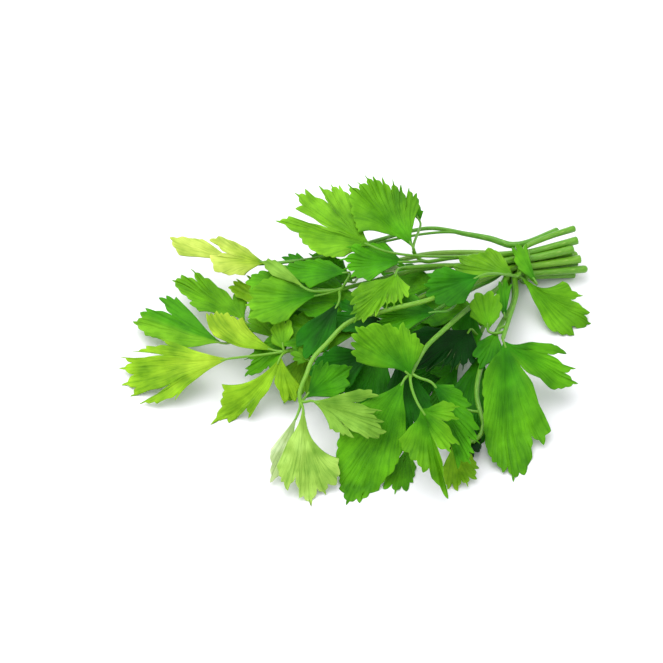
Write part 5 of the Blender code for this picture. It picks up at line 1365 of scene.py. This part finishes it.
def tube_shell(path, radius, sides, ribs, cut, tone):
    """A stem's or stalk's closed shell: a ribbed circle carried along its path.

    The circle is widened by the ribs' height times the cosine of ribs turns. The far end, and a near
    end that isn't cut, is rounded off over its own radius. grain is a place round and along the tube.
    """
    fine = smooth_path(np.column_stack((path, radius)), FINE_STEP)
    path, radius = fine[:, :3], fine[:, 3]
    along, side, up = carried_frame(path)
    quarter = np.linspace(0, np.pi / 2, ROUND_STEPS + 1)[1:-1]
    across, out, middle = np.cos(quarter[::-1]), np.sin(quarter[::-1]), 1.0
    if cut:
        across, out, middle = CUT_ACROSS, CUT_OUT, CUT_MIDDLE
    near = path[0] - along[0] * radius[0] * out[:, None]
    far = path[-1] + along[-1] * radius[-1] * np.sin(quarter)[:, None]
    centre = np.vstack((near, path, far))
    size = np.concatenate((radius[0] * across, radius, radius[-1] * np.cos(quarter)))
    row = np.clip(np.arange(len(centre)) - len(near), 0, len(path) - 1)
    turn = np.linspace(0, 2 * np.pi, sides, endpoint=False)
    ring = np.cos(turn)[:, None] * side[row][:, None] + np.sin(turn)[:, None] * up[row][:, None]
    ribbed = (1 + RIB_HEIGHT * np.cos(ribs * turn))[:, None] if ribs else 1.0
    rings = centre[:, None] + size[:, None, None] * ribbed * ring
    first = path[0] - along[0] * radius[0] * middle
    last = path[-1] + along[-1] * radius[-1]
    points = np.vstack((first, rings.reshape(-1, 3), last))
    index = 1 + np.arange(len(rings) * sides).reshape(len(rings), sides)
    index = np.vstack((np.zeros(sides, int), index, np.full(sides, len(points) - 1)))
    triangles = grid_triangles(np.column_stack((index, index[:, 0])))[:, ::-1]
    length = np.cumsum(np.linalg.norm(np.diff(centre, axis=0, prepend=centre[:1]), axis=1))
    grain = np.stack(np.broadcast_arrays(2 * np.cos(turn), 2 * np.sin(turn), length[:, None] * 0.12), -1)
    on_cut = np.repeat((np.arange(len(centre)) < len(near)) * float(cut), sides)
    return points, triangles, dict(
        grain=np.vstack((grain[0, :1], grain.reshape(-1, 3), grain[-1, :1])),
        tone=np.broadcast_to(np.append(linear(tone), 1.0), (len(points), 4)),
        cut=np.concatenate((on_cut[:1], on_cut, on_cut[-1:])),
    )


# The colours that a stem's tone is mixed with in light and dark lines and on its cut face.
LIGHT_LINE = (0.50, 0.70, 0.16, 1.0)
STEM_SHADE = (0.10, 0.24, 0.03, 1.0)
CUT_FACE = (0.33, 0.40, 0.17, 1.0)


def stem_material():
    """A stem: its tone with fine light and dark lines along it, and a dull cut face."""
    material, start = new_material("parsley_stem")
    cut = start.attribute("cut")
    lines = start.attribute("grain", "Vector").noise(3.0, 3.0)
    tone = start.attribute("tone", "Color")
    tone = tone.mix(LIGHT_LINE, lines.ramp(0.5, 0.75) * 0.5)
    tone = tone.mix(STEM_SHADE, lines.ramp(0.48, 0.25) * 0.4)
    tone = tone.mix(CUT_FACE, cut * 0.8)
    bump = start.node("ShaderNodeBump", None, {"Strength": 0.7, "Distance": MM, "Height": lines * 0.15})
    finish_material(start.node("ShaderNodeBsdfPrincipled", None, {
        "Base Color": tone, "Roughness": 0.36 + cut * 0.3, "Normal": bump, "Specular IOR Level": 0.5,
    }))
    return material


stem_green = stem_material()
for name, pieces in laid.items():
    stem, *stalks = pieces["tubes"]
    tone = TONES[STEM_TONES.get(name, "fresh")]
    shells = [tube_shell(*stem, STEM_SIDES, RIBS, True, tone)]
    shells += [tube_shell(*stalk, STALK_SIDES, 0, False, tone) for stalk in stalks]
    stems = shell_object(name + "_stalks", *joined(shells), stem_green)
    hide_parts(name)
    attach(stems, "root")

# Table, light and camera
# A plain white table top, one large soft light above the bunch and to its left, white surroundings, and
# the camera at the eye that the bunch was arranged for.
white, start = new_material("table_white")
finish_material(start.node("ShaderNodeBsdfPrincipled", None, {
    "Base Color": (0.94, 0.93, 0.97, 1.0), "Roughness": 0.7, "Specular IOR Level": 0.2,
}))
table_mesh = bpy.data.meshes.new("table")
table_mesh.from_pydata([(-3, -3, 0), (3, -3, 0), (3, 3, 0), (-3, 3, 0)], [], [(0, 1, 2, 3)])
table_mesh.materials.append(white)
table = bpy.data.objects.new("table", table_mesh)
bpy.context.scene.collection.objects.link(table)

softbox = bpy.data.lights.new("softbox", "AREA")
softbox.size = 1.2
softbox.energy = 9.5
softbox.color = (1.0, 1.0, 0.97)
lamp = bpy.data.objects.new("softbox", softbox)
lamp.location = (-0.30, 0.12, 1.05)
lamp.rotation_euler = (-lamp.location).to_track_quat("-Z", "Y").to_euler()
bpy.context.scene.collection.objects.link(lamp)

world = bpy.data.worlds.new("white_room")
world.use_nodes = True
background = world.node_tree.nodes["Background"]
background.inputs["Color"].default_value = (0.97, 0.98, 1.0, 1.0)
background.inputs["Strength"].default_value = 0.92
bpy.context.scene.world = world

camera_data = bpy.data.cameras.new("camera")
camera_data.lens = 100.0
camera_data.sensor_width = 36.0
camera = bpy.data.objects.new("camera", camera_data)
camera.location = (EYE + PLACE) * MM
camera.rotation_euler = (math.pi / 2 - EYE_ELEVATION, 0.0, 0.0)
bpy.context.scene.collection.objects.link(camera)
bpy.context.scene.camera = camera
bpy.context.scene.view_settings.view_transform = "Standard"
